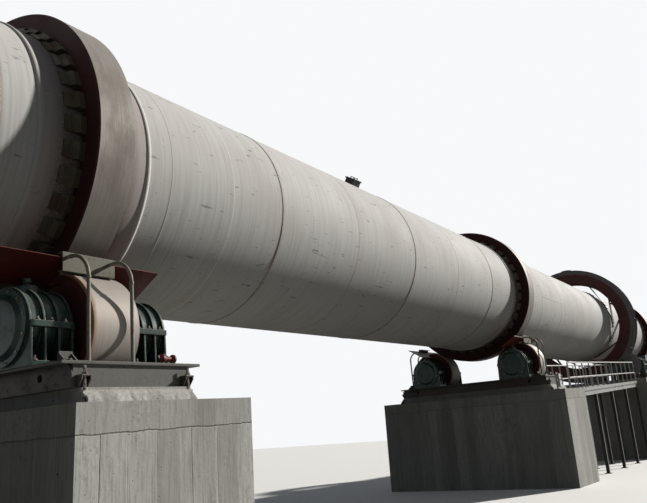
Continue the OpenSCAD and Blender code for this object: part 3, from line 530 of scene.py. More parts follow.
def weathered_coat():
    """A coat of paint with uneven fading, grime in patches and small rust spots."""
    group, given, result = new_group("weathered_coat",
                                     [("Place", "Vector", (0, 0, 0)), ("Paint", "Color", (0.5, 0.5, 0.5, 1)),
                                      ("Grime", "Color", (0.1, 0.1, 0.1, 1)), ("Rust", "Color",
                                                                               (0.16, 0.07, 0.04, 1)),
                                      ("Grime Share", "Float", 0.5), ("Rust Share", "Float", 0.3),
                                      ("Patch", "Float", 3.0)], [("Color", "Color"), ("Roughness", "Float"),
                                                                 ("Height", "Float")])
    broad = clouds(given["Place"], given["Patch"], 5.0, 0.6)
    fine = clouds(given["Place"], 38.0, 5.0, 0.7)
    faded = put("ShaderNodeHueSaturation", {"Value": step(broad, 0.25, 0.75, 0.78, 1.18),
                                            "Color": given["Paint"]})
    grimy = step(summed((broad, 0.65), (fine, 0.35)), 0.44, 0.66)
    grimy = reckon("MULTIPLY", grimy, given["Grime Share"], clamp=True)
    rusty = step(summed((fine, 1.0), (broad, 0.5)), 0.84, 0.93)
    rusty = reckon("MULTIPLY", rusty, given["Rust Share"], clamp=True)
    fill(result, {"Color": mixed(rusty, mixed(grimy, faded.outputs[0], given["Grime"]), given["Rust"]),
                  "Roughness": plus(0.42, times(plus(grimy, rusty), 0.3)),
                  "Height": plus(times(fine, 0.4), rusty)})
    return group


edge_group = worn_edges()
coat_group = weathered_coat()


def coated(name, paint, grime, rust, shares, patch, bare=(0.22, 0.19, 0.17), wear=0.8,
           dust=(0.30, 0.27, 0.22), dusty=0.6, sheen=0.0):
    """A weathered coat with worn edges, streaks of rain and dust, with its shader and tone for what goes over it."""
    material, shader, place = new_material(name)
    coat = grouped(coat_group, {"Place": place, "Paint": paint, "Grime": grime, "Rust": rust,
                                "Grime Share": shares[0], "Rust Share": shares[1], "Patch": patch})
    edges = grouped(edge_group, {"Place": place, "Wear": wear})
    rain = grouped(rain_group, {"Place": place, "Fineness": 7.0})["Mask"]
    dusted = grouped(dust_group, {"Place": place, "Patch": 4.0})["Mask"]
    tone = mixed(times(rain, 0.35 * shares[0]), coat["Color"], grime)
    tone = mixed(edges["Mask"], tone, bare)
    tone = mixed(times(dusted, dusty), tone, dust)
    fill(shader, {"Base Color": tone, "Roughness": coat["Roughness"], "Specular IOR Level": 0.15,
                  "Normal": raised(coat["Height"], 0.0012, edges["Rounded"]), "Coat Weight": sheen,
                  "Coat Roughness": 0.16})
    return material, shader, place, tone


def painted(*colours, **finish):
    """The same coat with nothing over it."""
    return coated(*colours, **finish)[0]


frame_paint_and_end_shade, shader, place, tone = coated("frame_grey_paint_and_end_shade", (0.125, 0.127, 0.118), (0.060, 0.056, 0.045),
                                          (0.10, 0.050, 0.034), (0.7, 0.35), 3.0, bare=(0.27, 0.26, 0.24),
                                          dusty=0.40)
# Painted shade: every face that faces along the kiln, such as the frames' end faces, is coloured a near-black brown.
painted_end_shade = step(absolute(lying_along(surface_normal(place), kiln_axis)), 0.75, 0.9)
fill(shader, {"Base Color": mixed(times(painted_end_shade, 0.8), tone, (0.036, 0.027, 0.021))})
dressed(frame_paint_and_end_shade, "base_frame_1", "base_frame_2", "base_frame_3", "drive_frame", "walkway_legs")

seat_gap = 0.0003
chairs = [box_between((-0.036, 0, 0.060), (0.036, 0.058, 0.070), 0.002)]
for side in (-1, 1):
    rib = box_between((side * 0.030 - 0.004, 0, 0), (side * 0.030 + 0.004, 0.054, 0.061))
    alone(rib)
    bpy.ops.object.mode_set(mode="EDIT")
    bpy.ops.mesh.select_all(action="SELECT")
    bpy.ops.mesh.bisect(plane_co=(0, 0.020, 0), plane_no=(0, 0.8, -0.6), clear_outer=True, use_fill=True)
    bpy.ops.object.mode_set(mode="OBJECT")
    chairs.append(rib)
anchor_out = 0.036
anchor = [moved(hex_bolt(0.017, 0.050), 0, anchor_out, 0.070), moved(hex_bolt(0.017), 0, anchor_out, -0.070),
          moved(turned_part([(0.009, -0.098), (0.009, 0.072)], 12), 0, anchor_out, 0)]
chair_places = [at_kiln(tyre_at + along, side * 1.332, frame_bottom + seat_gap) @ outwards(side)
                for tyre_at in tyre_stations for side in (-1, 1) for along in (-0.400, 0.400)]
placed("anchor_chairs", joined("chair_pattern", chairs), chair_places, frame_paint_and_end_shade, "foundation")
bolted("anchor_bolts", joined("anchor_pattern", anchor), chair_places, "foundation")


# Roller bearings: split cast housings in dark green machine enamel, closed by a domed cover, bolted down to the
# base frame through slotted feet and set to place with the screws outside them.
enamel = painted("green_machine_enamel", (0.013, 0.045, 0.037), (0.012, 0.012, 0.009), (0.09, 0.045, 0.03),
                 (0.8, 0.3), 5.0, bare=(0.34, 0.35, 0.32), wear=1.0, dust=(0.34, 0.34, 0.30), dusty=0.5,
                 sheen=0.18)
dressed(enamel, "bearing_housings_1", "bearing_housings_2", "bearing_housings_3", "pinion_bearings",
        "gearbox")

bearing_along = 0.376
bearing_half = 0.145
cover_bolt_places, split_bolt_places, foot_bolt_places, oil_places = [], [], [], []
for roller_at in roller_stations:
    for side in (-1, 1):
        for out in (-1, 1):
            seat = at_kiln(roller_at + out * bearing_along, side * roller_across, roller_upright)
            cover_bolt_places += ring_places(seat @ shift(out * (bearing_half + 0.018), 0, 0), out, 12, 0.218,
                                             math.radians(15))
            for edge in (-1, 1):
                split_bolt_places += [seat @ shift(along, edge * 0.251, 0.018)
                                      for along in (-0.095, 0.0, 0.095)]
                foot_bolt_places += [seat @ shift(along, edge * 0.249, -0.2157) for along in (-0.11, 0.11)]
            oil_places.append(seat @ shift(0, 0, 0.260))
bolted("cover_bolts", hex_bolt(0.008), cover_bolt_places, "foundation")
bolted("split_bolts", hex_bolt(0.014, 0.022), split_bolt_places, "foundation")
bolted("foot_bolts", hex_bolt(0.016, 0.030), foot_bolt_places, "foundation")

breather = turned_part([(0.055, 0.0), (0.060, 0.004), (0.060, 0.010), (0.026, 0.012), (0.020, 0.030),
                        (0.030, 0.034), (0.030, 0.056), (0.022, 0.064), (0.008, 0.067)], 24)
lid_bolts = [moved(hex_bolt(0.006), 0.048 * math.cos(angle), 0.048 * math.sin(angle), 0.010)
             for angle in (number * math.pi / 3 for number in range(6))]
placed("bearing_lids", joined("lid_pattern", [breather] + lid_bolts), oil_places, enamel, "foundation")


# Drains: a short flanged pipe leaves the oil tray of each base frame, in the red of the heat shields. It is
# screwed into an elbow on the top plate.
drain_red = painted("drain_red_paint", (0.170, 0.026, 0.020), (0.050, 0.020, 0.016), (0.15, 0.05, 0.03),
                    (0.5, 0.4), 9.0, bare=(0.38, 0.33, 0.30), wear=1.0)
drain = turned_part([(0.017, 0.0), (0.017, 0.080), (0.030, 0.082), (0.030, 0.094), (0.018, 0.096)], 24)
elbow = turned_part([(0.021, -0.004), (0.021, 0.014)], 24)
elbow_foot = turned_part([(0.017, -0.030), (0.017, 0.0)], 24)
elbow_foot.rotation_euler = (0, math.pi / 2, 0)
drain_places = [at_kiln(tyre_at + 0.245, side * 1.305, frame_top + 0.0305) @ end_on(1)
                for tyre_at in tyre_stations for side in (-1, 1)]
placed("tray_drains", joined("drain_pattern", [drain, elbow, elbow_foot]), drain_places, drain_red,
       "foundation")


# Support rollers: forged steel shrunk on its shaft. The face is rolled bright by the tyre, with rust where the
# tyre doesn't reach, and the dished sides keep their dark red primer.
def distance(first, second):
    """How far a point lies from an axis, from its distances along two lines square to each other."""
    return reckon("SQRT", plus(times(first, first), times(second, second)))


def kiln_coordinates():
    """A place measured along the kiln, round it and out from its axis, in metres from the middle tyre's centre."""
    group, given, result = new_group("kiln_coordinates", [("Place", "Vector", (0, 0, 0))],
                                     [("Along", "Float"), ("Across", "Float"), ("Upright", "Float"),
                                      ("Angle", "Float"), ("Radius", "Float"), ("Turned", "Vector"),
                                      ("Facing Along", "Float")])
    point = from_middle_tyre(given["Place"])
    along, across, upright = [lying_along(point, axis) for axis in (kiln_axis, across_axis, upright_axis)]
    turned = put("ShaderNodeCombineXYZ", {0: along, 1: across, 2: upright}).outputs[0]
    fill(result, {"Along": along, "Across": across, "Upright": upright,
                  "Angle": reckon("ARCTAN2", across, upright), "Radius": distance(across, upright),
                  "Turned": turned, "Facing Along": lying_along(surface_normal(point), kiln_axis)})
    return group


kiln_group = kiln_coordinates()


def rolled_steel(number, roller_at):
    """The finish of one station's rollers: satin face, rust bands, dark red sides and a bright shaft."""
    material, shader, place = new_material(f"rolled_steel_{number}")
    kiln = grouped(kiln_group, {"Place": place})
    out = less(absolute(kiln["Across"]), roller_across)
    up = less(kiln["Upright"], roller_upright)
    from_shaft = distance(out, up)
    on_face = step(from_shaft, 0.355, 0.372)
    on_shaft = step(from_shaft, 0.112, 0.106)
    from_middle = less(kiln["Along"], roller_at)
    patches = clouds(kiln["Turned"], 3.4, 5.0, 0.6)
    rings = clouds(stretched(kiln["Turned"], (120, 0.6, 0.6)), 3.0, 3.0, 0.7)
    fine = clouds(kiln["Turned"], 60.0, 4.0, 0.7)
    left_band = step(plus(from_middle, times(patches, 0.05)), -0.112, -0.150)
    right_band = step(less(from_middle, times(patches, 0.03)), 0.150, 0.176)
    rust = larger(left_band, times(right_band, 0.7))
    rust = times(rust, step(fine, 0.22, 0.55, 0.55, 1.0))
    bright = mixed(step(rings, 0.3, 0.7), (0.30, 0.275, 0.250), (0.385, 0.355, 0.325))
    bright = mixed(step(patches, 0.42, 0.75, 0.0, 0.6), bright, (0.33, 0.27, 0.235))
    face = mixed(rust, bright, mixed(fine, (0.27, 0.155, 0.095), (0.38, 0.255, 0.17)))
    grime = step(plus(patches, times(fine, 0.4)), 0.58, 0.85)
    sides = mixed(grime, (0.060, 0.012, 0.012), (0.022, 0.012, 0.010))
    sides = mixed(on_shaft, sides, mixed(rings, (0.24, 0.23, 0.21), (0.13, 0.115, 0.10)))
    edges = grouped(edge_group, {"Place": place, "Wear": 0.8})
    tone = mixed(on_face, mixed(edges["Mask"], sides, (0.26, 0.22, 0.19)), face)
    bare = larger(on_shaft, times(on_face, less(1.0, rust)))
    relief = summed((rings, 0.5), (times(rust, fine), 1.0))
    fill(shader, {"Base Color": tone, "Metallic": times(bare, 0.2),
                  "Roughness": step(bare, 0.0, 1.0, 0.75, 0.60), "Specular IOR Level": 0.15,
                  "Normal": raised(relief, 0.0006, edges["Rounded"])})
    return material


for number, roller_at in enumerate(roller_stations, 1):
    dressed(rolled_steel(number, roller_at), f"roller_{number}_near", f"roller_{number}_far")

# A keeper plate with three bolts holds each roller's shaft against its shoulder, at both sides of the roller.
for number, roller_at in enumerate(roller_stations, 1):
    for name, side in (("near", -1), ("far", 1)):
        hub_places = []
        for out in (-1, 1):
            hub_places += ring_places(at_kiln(roller_at + out * 0.183, side * roller_across, roller_upright),
                                      out, 8, 0.145)
        bolted(f"hub_bolts_{number}_{name}", hex_bolt(0.009), hub_places, f"roller_{number}_{name}")


# Heat shields: dark red steel sheets that keep the tube's heat off the bearings. Each hangs on a rolled channel
# that two bent pipes carry, with the pipes' feet bolted to the base frame.
shield_paint = painted("dark_red_primer", (0.110, 0.021, 0.016), (0.045, 0.014, 0.012), (0.15, 0.045, 0.02),
                       (0.7, 0.4), 2.6, bare=(0.20, 0.11, 0.08), wear=0.6, dust=(0.16, 0.09, 0.07), dusty=0.3)
dressed(shield_paint, "heat_shields_1", "heat_shields_2", "heat_shields_3")

stand_paint, shader, place, tone = coated("stand_beige_paint", (0.30, 0.285, 0.24), (0.12, 0.105, 0.075),
                                          (0.15, 0.075, 0.045), (0.8, 0.6), 4.0, bare=(0.25, 0.20, 0.15),
                                          dust=(0.34, 0.31, 0.25))
on_channel = step(absolute(grouped(kiln_group, {"Place": place})["Across"]), 1.012, 1.009)
fill(shader, {"Base Color": mixed(times(on_channel, 0.95), tone, mixed(0.9, tone, (0.105, 0.100, 0.072)))})
dressed(stand_paint, "shield_stands_1", "shield_stands_2", "shield_stands_3")

shield_tilt = math.radians(31)
shield_bolt_places, stand_bolt_places = [], []
for tyre_at in tyre_stations:
    for side in (-1, 1):
        on_shield = at_kiln(tyre_at) @ Matrix.Rotation(side * shield_tilt, 4, "X")
        shield_bolt_places += [on_shield @ shift(along, side * 0.362, -1.2943)
                               for along in (-0.26, -0.13, 0.0, 0.09)]
        for along in (-0.256, 0.076):
            for turn in (45, 135, 225, 315):
                from_pipe = (0.019 * math.cos(math.radians(turn)), 0.019 * math.sin(math.radians(turn)))
                stand_bolt_places.append(at_kiln(tyre_at + along + from_pipe[0], side * 1.218 + from_pipe[1],
                                                 frame_top + 0.0083))
bolted("stand_bolts", hex_bolt(0.005), stand_bolt_places, "foundation")
bolted("shield_bolts", hex_bolt(0.009), shield_bolt_places, "foundation")


# Tyres: solid forged rings, loose round the tube on loose chair pads. The stop blocks welded to the pads keep them
# from walking along the tube. Their sides are dark with primer and burnt oil, the face is worn by the rollers.
def tyre_steel():
    """Worn running face with rolled streaks, almost black maroon sides."""
    material, shader, place = new_material("tyre_steel")
    kiln = grouped(kiln_group, {"Place": place})
    on_face = step(absolute(kiln["Facing Along"]), 0.6, 0.3)
    rings = clouds(stretched(kiln["Turned"], (60, 0.5, 0.5)), 2.0, 4.0, 0.7)
    patches = clouds(stretched(kiln["Turned"], (2.2, 1, 1)), 2.0, 6.0, 0.65)
    fine = clouds(kiln["Turned"], 46.0, 4.0, 0.7)
    worn = mixed(step(rings, 0.3, 0.7), (0.205, 0.190, 0.172), (0.268, 0.250, 0.228))
    worn = mixed(step(patches, 0.45, 0.72, 0.0, 0.65), worn, (0.170, 0.144, 0.124))
    worn = mixed(step(fine, 0.58, 0.75, 0.0, 0.5), worn, (0.28, 0.245, 0.215))
    burnt = mixed(step(patches, 0.4, 0.7), (0.026, 0.007, 0.008), (0.046, 0.013, 0.012))
    burnt = mixed(step(fine, 0.62, 0.78, 0.0, 0.6), burnt, (0.085, 0.035, 0.028))
    edges = grouped(edge_group, {"Place": place, "Wear": 0.7})
    tone = mixed(edges["Mask"], mixed(on_face, burnt, worn), (0.33, 0.28, 0.25))
    relief = summed((rings, 0.5), (fine, 0.35))
    fill(shader, {"Base Color": tone, "Metallic": times(on_face, 0.25),
                  "Roughness": step(patches, 0.3, 0.7, 0.55, 0.75), "Specular IOR Level": 0.1,
                  "Normal": raised(relief, 0.0010, edges["Rounded"])})
    return material


def pad_steel():
    """Scaled steel, each pad a little different, with rust and dark oil in patches and pale worn edges."""
    material, shader, place = new_material("pad_steel")
    kiln = grouped(kiln_group, {"Place": place})
    count = reckon("ROUND", times(kiln["Angle"], 18 / math.pi))
    own = put("ShaderNodeTexWhiteNoise", {"W": count}, noise_dimensions="1D").outputs["Value"]
    fine = clouds(kiln["Turned"], 40.0, 5.0, 0.7)
    broad = clouds(kiln["Turned"], 7.0, 4.0, 0.6)
    tone = mixed(own, (0.034, 0.032, 0.021), (0.085, 0.076, 0.053))
    tone = mixed(step(broad, 0.45, 0.7, 0.0, 0.7), tone, (0.085, 0.050, 0.032))
    tone = mixed(step(fine, 0.6, 0.8, 0.0, 0.8), tone, (0.030, 0.028, 0.022))
    edges = grouped(edge_group, {"Place": place, "Wear": 0.9})
    tone = mixed(edges["Mask"], tone, (0.25, 0.22, 0.17))
    fill(shader, {"Base Color": tone, "Roughness": step(broad, 0.3, 0.7, 0.5, 0.85),
                  "Specular IOR Level": 0.15, "Normal": raised(fine, 0.0012, edges["Rounded"])})
    return material


dressed(tyre_steel(), "tyre_1", "tyre_2", "tyre_3")
pad_finish = pad_steel()
dressed(pad_finish, "tyre_pads_1", "tyre_pads_2", "tyre_pads_3")


def round_kiln(along, angle, radius):
    """A place at that angle past the top and that far out, with X along the kiln and Z outwards."""
    return at_kiln(along) @ Matrix.Rotation(angle, 4, "X") @ shift(0, 0, radius)


# Weld beads along the foot of each stop block, laid in short runs.
bead = turned_part([(0.0045, -0.050), (0.0060, -0.044), (0.0060, 0.044), (0.0045, 0.050)], 8)
bead.rotation_euler = (math.pi / 2, 0, 0)
bead_places = [round_kiln(tyre_at + side * 0.232, count * math.pi / 18, 1.0290) for tyre_at in tyre_stations
               for count in range(36) for side in (-1, 1)]
placed("pad_welds", joined("bead_pattern", [bead]), bead_places, pad_finish, "kiln_tube")


# Shell: rolled steel courses, butt welded, thicker under each tyre and painted off-white. The field seams between
# the delivered lengths were welded on site and show brown scorch, the shop seams half-way are fainter.
shell_radius = 1.0
field_seam_first = tyre_stations[0] + 2.12
course_length = 1.425
seam_spacing = 2 * course_length
raised_ring_at = 0.449


def shell_paint():
    """Off-white paint, fine streaks round the tube, scuffs along it, scorched seams and grime near the tyres."""
    material, shader, place = new_material("shell_paint")
    kiln = grouped(kiln_group, {"Place": place})
    along = kiln["Along"]
    streaks = clouds(stretched(kiln["Turned"], (26, 0.8, 0.8)), 1.6, 5.0, 0.7)
    broad = clouds(stretched(kiln["Turned"], (0.9, 0.9, 0.9)), 1.3, 5.0, 0.6)
    fine = clouds(kiln["Turned"], 55.0, 4.0, 0.7)
    scuffs = clouds(stretched(kiln["Turned"], (2.6, 11, 11)), 2.2, 3.0, 0.6)
    spots = put("ShaderNodeTexVoronoi", {"Vector": stretched(kiln["Turned"], (1.0, 2.2, 2.2)), "Scale": 2.6,
                                         "Randomness": 1.0})
    spot_size = put("ShaderNodeSeparateColor", {0: spots.outputs["Color"]}).outputs[0]
    spot = step(less(times(reckon("POWER", spot_size, 6.0), 0.10),
                     plus(spots.outputs["Distance"], times(fine, 0.05))), -0.03, 0.01)
    course = reckon("FLOOR", reckon("DIVIDE", less(along, field_seam_first), course_length))
    own = put("ShaderNodeTexWhiteNoise", {"W": course}, noise_dimensions="1D").outputs["Value"]
    from_field = reckon("PINGPONG", less(along, field_seam_first - 20 * seam_spacing), course_length)
    from_shop = less(course_length, from_field)
    tone = mixed(own, (0.600, 0.600, 0.590), (0.660, 0.660, 0.650))
    tone = mixed(step(streaks, 0.38, 0.72, 0.0, 0.50), tone, (0.40, 0.395, 0.370))
    tone = mixed(step(broad, 0.45, 0.75, 0.0, 0.45), tone, (0.52, 0.475, 0.455))
    tone = mixed(step(scuffs, 0.645, 0.70, 0.0, 0.70), tone, (0.21, 0.205, 0.185))
    tone = mixed(times(spot, 0.8), tone, (0.16, 0.15, 0.13))
    ragged = plus(from_field, times(fine, 0.012))
    scorch = times(step(ragged, 0.042, 0.006), step(streaks, 0.25, 0.55, 0.45, 1.0))
    scorch = times(scorch, step(along, 0.4, 0.6, 0.65, 0.12))
    tone = mixed(scorch, tone, (0.235, 0.180, 0.135))
    tone = mixed(step(from_shop, 0.020, 0.004, 0.0, 0.16), tone, (0.33, 0.30, 0.27))
    nearest = absolute(less(along, tyre_stations[0]))
    for tyre_at in tyre_stations[1:]:
        nearest = reckon("MINIMUM", nearest, absolute(less(along, tyre_at)))
    pink = times(step(nearest, 0.47, 0.44), 0.6)
    tone = mixed(pink, tone, (0.40, 0.335, 0.315))
    soiled = times(step(plus(nearest, times(broad, 0.14)), 0.47, 0.30), step(fine, 0.3, 0.6, 0.5, 1.0))
    tone = mixed(times(soiled, 0.75), tone, (0.105, 0.075, 0.060))
    ring = step(absolute(less(nearest, raised_ring_at)), 0.025, 0.022)
    ring = times(ring, step(along, tyre_stations[0] - 0.1, tyre_stations[0] + 0.1, 0.2, 1.0))
    tone = mixed(times(ring, 0.85), tone, (0.70, 0.70, 0.68))
    chalk = step(absolute(less(along, tyre_stations[0] + 1.42)), 0.008, 0.004)
    tone = mixed(times(chalk, step(fine, 0.3, 0.6, 0.2, 0.7)), tone, (0.80, 0.80, 0.78))
    relief = summed((fine, 0.30), (streaks, 0.25), (spot, -0.5))
    fill(shader, {"Base Color": tone, "Roughness": step(broad, 0.3, 0.7, 0.68, 0.82),
                  "Specular IOR Level": 0.05, "Normal": raised(relief, 0.0010)})
    return material


shell_finish = shell_paint()
dressed(shell_finish, "shell")


def weld_metal():
    """A weld bead: overlapping ripples, brushed over with paint on the high side and brown in the dips."""
    material, shader, place = new_material("weld_metal")
    fine = clouds(place, 90.0, 4.0, 0.7)
    broad = clouds(place, 6.0, 3.0, 0.6)
    tone = mixed(step(fine, 0.35, 0.65), (0.20, 0.13, 0.095), (0.36, 0.32, 0.29))
    tone = mixed(step(broad, 0.45, 0.65, 0.0, 0.6), tone, (0.15, 0.085, 0.06))
    fill(shader, {"Base Color": tone, "Roughness": 0.7, "Normal": raised(fine, 0.002)})
    return material


weld_finish = weld_metal()


def ring_bead(name, radius, width, height, sides):
    """A half-round bead that runs once round the kiln axis at the middle tyre, modelled as a spun outline."""
    bpy.ops.mesh.primitive_circle_add(vertices=10, radius=width / 2, location=(0, 0, 0))
    made = bpy.context.object
    made.scale = (1, 2 * height / width, 1)
    bpy.ops.object.transform_apply(scale=True)
    made.rotation_euler = (math.pi / 2, 0, 0)
    made.location = (0, 0, radius)
    bpy.ops.object.transform_apply(location=True, rotation=True)
    bpy.ops.object.mode_set(mode="EDIT")
    bpy.ops.mesh.select_all(action="SELECT")
    bpy.ops.mesh.spin(steps=sides, angle=2 * math.pi, center=(0, 0, 0), axis=(1, 0, 0), dupli=False)
    bpy.ops.mesh.select_all(action="SELECT")
    bpy.ops.mesh.remove_doubles(threshold=0.0001)
    bpy.ops.mesh.normals_make_consistent(inside=False)
    bpy.ops.object.mode_set(mode="OBJECT")
    alone(made)
    bpy.ops.object.shade_smooth_by_angle(angle=math.radians(60))
    made.name = name
    return made


field_seams = [field_seam_first + seam_spacing * count for count in range(-1, 9)]
shop_seams = [seam + course_length for seam in field_seams]
weathered_to = 0.5


def on_plain_shell(along):
    """Whether that place lies on the plain tube, clear of the thick courses, the gear's springs and the ends."""
    clear = all(abs(along - tyre_at) > 0.60 for tyre_at in tyre_stations)
    return clear and abs(along - gear_station) > 0.30 and -11.3 < along < 18.4


scorched_seams = [at_kiln(seam) for seam in field_seams if on_plain_shell(seam) and seam < weathered_to]
placed("field_seam_welds", ring_bead("seam_ring", shell_radius + 0.0005, 0.016, 0.0035, 180), scorched_seams,
       weld_finish, "kiln_tube")
painted_seams = [at_kiln(seam) for seam in shop_seams + [seam for seam in field_seams if seam > weathered_to]
                 if on_plain_shell(seam)]
placed("shop_seam_welds", ring_bead("seam_ring", shell_radius, 0.010, 0.0012, 144), painted_seams,
       shell_finish, "kiln_tube")
band_places = [at_kiln(tyre_at + side * raised_ring_at) for tyre_at in tyre_stations for side in (-1, 1)]
placed("band_fillets", ring_bead("band_ring", shell_radius, 0.046, 0.0145, 180), band_places, shell_finish,
       "kiln_tube")

lengthwise = turned_part([(0.0035, 0.0), (0.0052, 0.006), (0.0052, course_length - 0.006),
                          (0.0035, course_length)], 10)
lengthwise.rotation_euler = (0, math.pi / 2, 0)
lengthwise.scale = (0.5, 1, 1)
seam_angles = (91, 215, 242, 148, 305, 340, 118, 260)
lengthwise_places = []
for count, start in enumerate(sorted(field_seams + shop_seams)):
    if all(on_plain_shell(start + part) for part in (0, 0.7, course_length)):
        lengthwise_places.append(round_kiln(start, math.radians(seam_angles[count % 8]),
                                            shell_radius + 0.0005))
placed("lengthwise_welds", joined("lengthwise_pattern", [lengthwise]), lengthwise_places, shell_finish,
       "kiln_tube")


# Lining and the two open ends: tapered bricks laid in rings, cast nose plates bolted to the shell's discharge end,
# and a steel cone that narrows the feed end.
def brick_rings():
    """Fired brick in rings, each ring shifted half a brick, with dark joints and a coat of clinker dust."""
    material, shader, place = new_material("lining_brick")
    kiln = grouped(kiln_group, {"Place": place})
    laid = put("ShaderNodeCombineXYZ", {0: times(kiln["Angle"], 0.8857), 1: kiln["Along"]}).outputs[0]
    bricks = put("ShaderNodeTexBrick", {"Vector": laid, "Color1": (0.36, 0.20, 0.115),
                                        "Color2": (0.24, 0.125, 0.075), "Mortar": (0.07, 0.05, 0.04),
                                        "Scale": 1.0, "Mortar Size": 0.0016, "Mortar Smooth": 0.2,
                                        "Brick Width": 0.0525, "Row Height": 0.099})
    fine = clouds(kiln["Turned"], 50.0, 4.0, 0.7)
    broad = clouds(kiln["Turned"], 3.0, 4.0, 0.6)
    end_angle = reckon("PINGPONG", plus(kiln["Angle"], 10.0), 0.0296)
    end_face = step(absolute(kiln["Facing Along"]), 0.5, 0.8)
    joint = times(step(end_angle, 0.0018, 0.0006), end_face)
    tone = mixed(end_face, bricks.outputs["Color"], (0.31, 0.17, 0.10))
    tone = mixed(joint, tone, (0.06, 0.045, 0.035))
    tone = mixed(step(broad, 0.4, 0.7, 0.1, 0.6), tone, (0.30, 0.25, 0.20))
    relief = less(times(fine, 0.4), larger(bricks.outputs["Fac"], joint))
    fill(shader, {"Base Color": tone, "Roughness": step(fine, 0.3, 0.7, 0.75, 0.95),
                  "Normal": raised(relief, 0.003)})
    return material


dressed(brick_rings(), "refractory_lining")

casting = painted("heat_casting", (0.105, 0.092, 0.085), (0.060, 0.042, 0.032), (0.20, 0.095, 0.05),
                  (0.8, 0.9), 5.0, bare=(0.24, 0.20, 0.17), dust=(0.30, 0.26, 0.21), dusty=0.7)
dressed(casting, "nose_ring", "feed_end_cone")
discharge_end = tyre_stations[0] - 2.150
feed_end = tyre_stations[2] + 4.850
nose_bolt_places = [round_kiln(discharge_end + 0.033, (count + 0.5) * math.pi / 24, 1.0183)
                    for count in range(48)]
bolted("nose_bolts", hex_bolt(0.010), nose_bolt_places, "kiln_tube")
cone_bolt_places = [round_kiln(feed_end + 0.0165, count * math.pi / 18, 0.975) @ end_on(1)
                    for count in range(36)]
bolted("cone_bolts", hex_bolt(0.010), cone_bolt_places, "kiln_tube")


# Manhole: a welded neck with a flat cover, clamped by bolts round its rim and lifted off by two handles.
cover_paint = painted("cover_dark_paint", (0.060, 0.062, 0.068), (0.030, 0.028, 0.025), (0.14, 0.065, 0.04),
                      (0.6, 0.8), 8.0, bare=(0.22, 0.20, 0.18), dust=(0.26, 0.24, 0.21), dusty=0.35)
dressed(cover_paint, "manhole_cover")
manhole_at = tyre_stations[0] + 4.358
on_cover = round_kiln(manhole_at, math.radians(30), 1.0803)
manhole_bolt_places = [on_cover @ shift(along, around, 0) for along,
                       around in [(along, around) for along in (-0.078, 0.078)
                                  for around in (-0.055, 0.0, 0.055)] + [(along, around)
                                                                         for along in (-0.026, 0.026)
                                                                         for around in (-0.064, 0.064)]]
bolted("manhole_bolts", hex_bolt(0.0055), manhole_bolt_places, "kiln_tube")


# Girth gear: a cast steel ring with cut teeth, kept in open grease. It hangs on spring plates that leave the shell
# as tangents, so that the shell can grow with heat, each pinned between two flanges inside the rim.
def greased_steel(name, axis_across, axis_upright, bare_radius):
    """Cast steel with a film of black grease on the toothed side and dull scale and rust inside it."""
    material, shader, place = new_material(name)
    kiln = grouped(kiln_group, {"Place": place})
    out = less(kiln["Across"], axis_across)
    up = less(kiln["Upright"], axis_upright)
    radius = distance(out, up)
    fine = clouds(place, 42.0, 5.0, 0.7)
    broad = clouds(place, 4.0, 4.0, 0.6)
    greasy = step(plus(radius, times(less(broad, 0.5), 0.06)), bare_radius - 0.012, bare_radius + 0.012)
    scale = mixed(step(fine, 0.35, 0.65), (0.090, 0.066, 0.052), (0.155, 0.110, 0.082))
    scale = mixed(step(broad, 0.5, 0.7, 0.0, 0.7), scale, (0.175, 0.088, 0.048))
    grease = mixed(step(fine, 0.4, 0.7), (0.012, 0.011, 0.010), (0.040, 0.032, 0.024))
    edges = grouped(edge_group, {"Place": place, "Wear": 0.6})
    tone = mixed(edges["Mask"], mixed(greasy, scale, grease), (0.24, 0.22, 0.20))
    fill(shader, {"Base Color": tone, "Metallic": 0.25, "Normal": raised(fine, 0.0012, edges["Rounded"]),
                  "Roughness": step(greasy, 0.0, 1.0, 0.75, 0.30)})
    return material


dressed(greased_steel("greased_gear", 0.0, 0.0, 1.415), "girth_gear")

spring_paint = painted("spring_plate_steel", (0.075, 0.040, 0.032), (0.030, 0.022, 0.018),
                       (0.17, 0.075, 0.04), (0.7, 0.9), 6.0, bare=(0.22, 0.18, 0.15), dusty=0.3)
dressed(spring_paint, "gear_springs")

pin_angle, pin_radius = -math.atan2(0.8109, 1.0193), 1.3025
pin_nut_places, plate_bolt_places = [], []
for count in range(12):
    spring_angle = count * math.pi / 6
    for out in (-1, 1):
        pin_nut_places.append(round_kiln(gear_station + out * 0.1193, pin_angle + spring_angle, pin_radius)
                              @ end_on(out))
        plate_bolt_places += [round_kiln(gear_station, spring_angle, 0) @ shift(out * 0.055, across, 1.0266)
                              for across in (-0.035, 0.045)]
bolted("pin_nuts", hex_bolt(0.015, 0.020), pin_nut_places, "kiln_tube")
bolted("plate_bolts", hex_bolt(0.010), plate_bolt_places, "kiln_tube")


# Pinion: a forged shaft with its teeth cut on it, greased by the gear, with one half of a flexible coupling.
pinion_place = Vector(joints["pinion_turn"]["pos_m"]) - kiln_origin
pinion_across, pinion_upright = pinion_place.dot(across_axis), pinion_place.dot(upright_axis)
dressed(greased_steel("greased_pinion", pinion_across, pinion_upright, 0.150), "pinion")
coupling = at_kiln(gear_station + 0.5443, pinion_across, pinion_upright)
bolted("coupling_bolts", hex_bolt(0.008), ring_places(coupling, -1, 10, 0.114), "pinion")


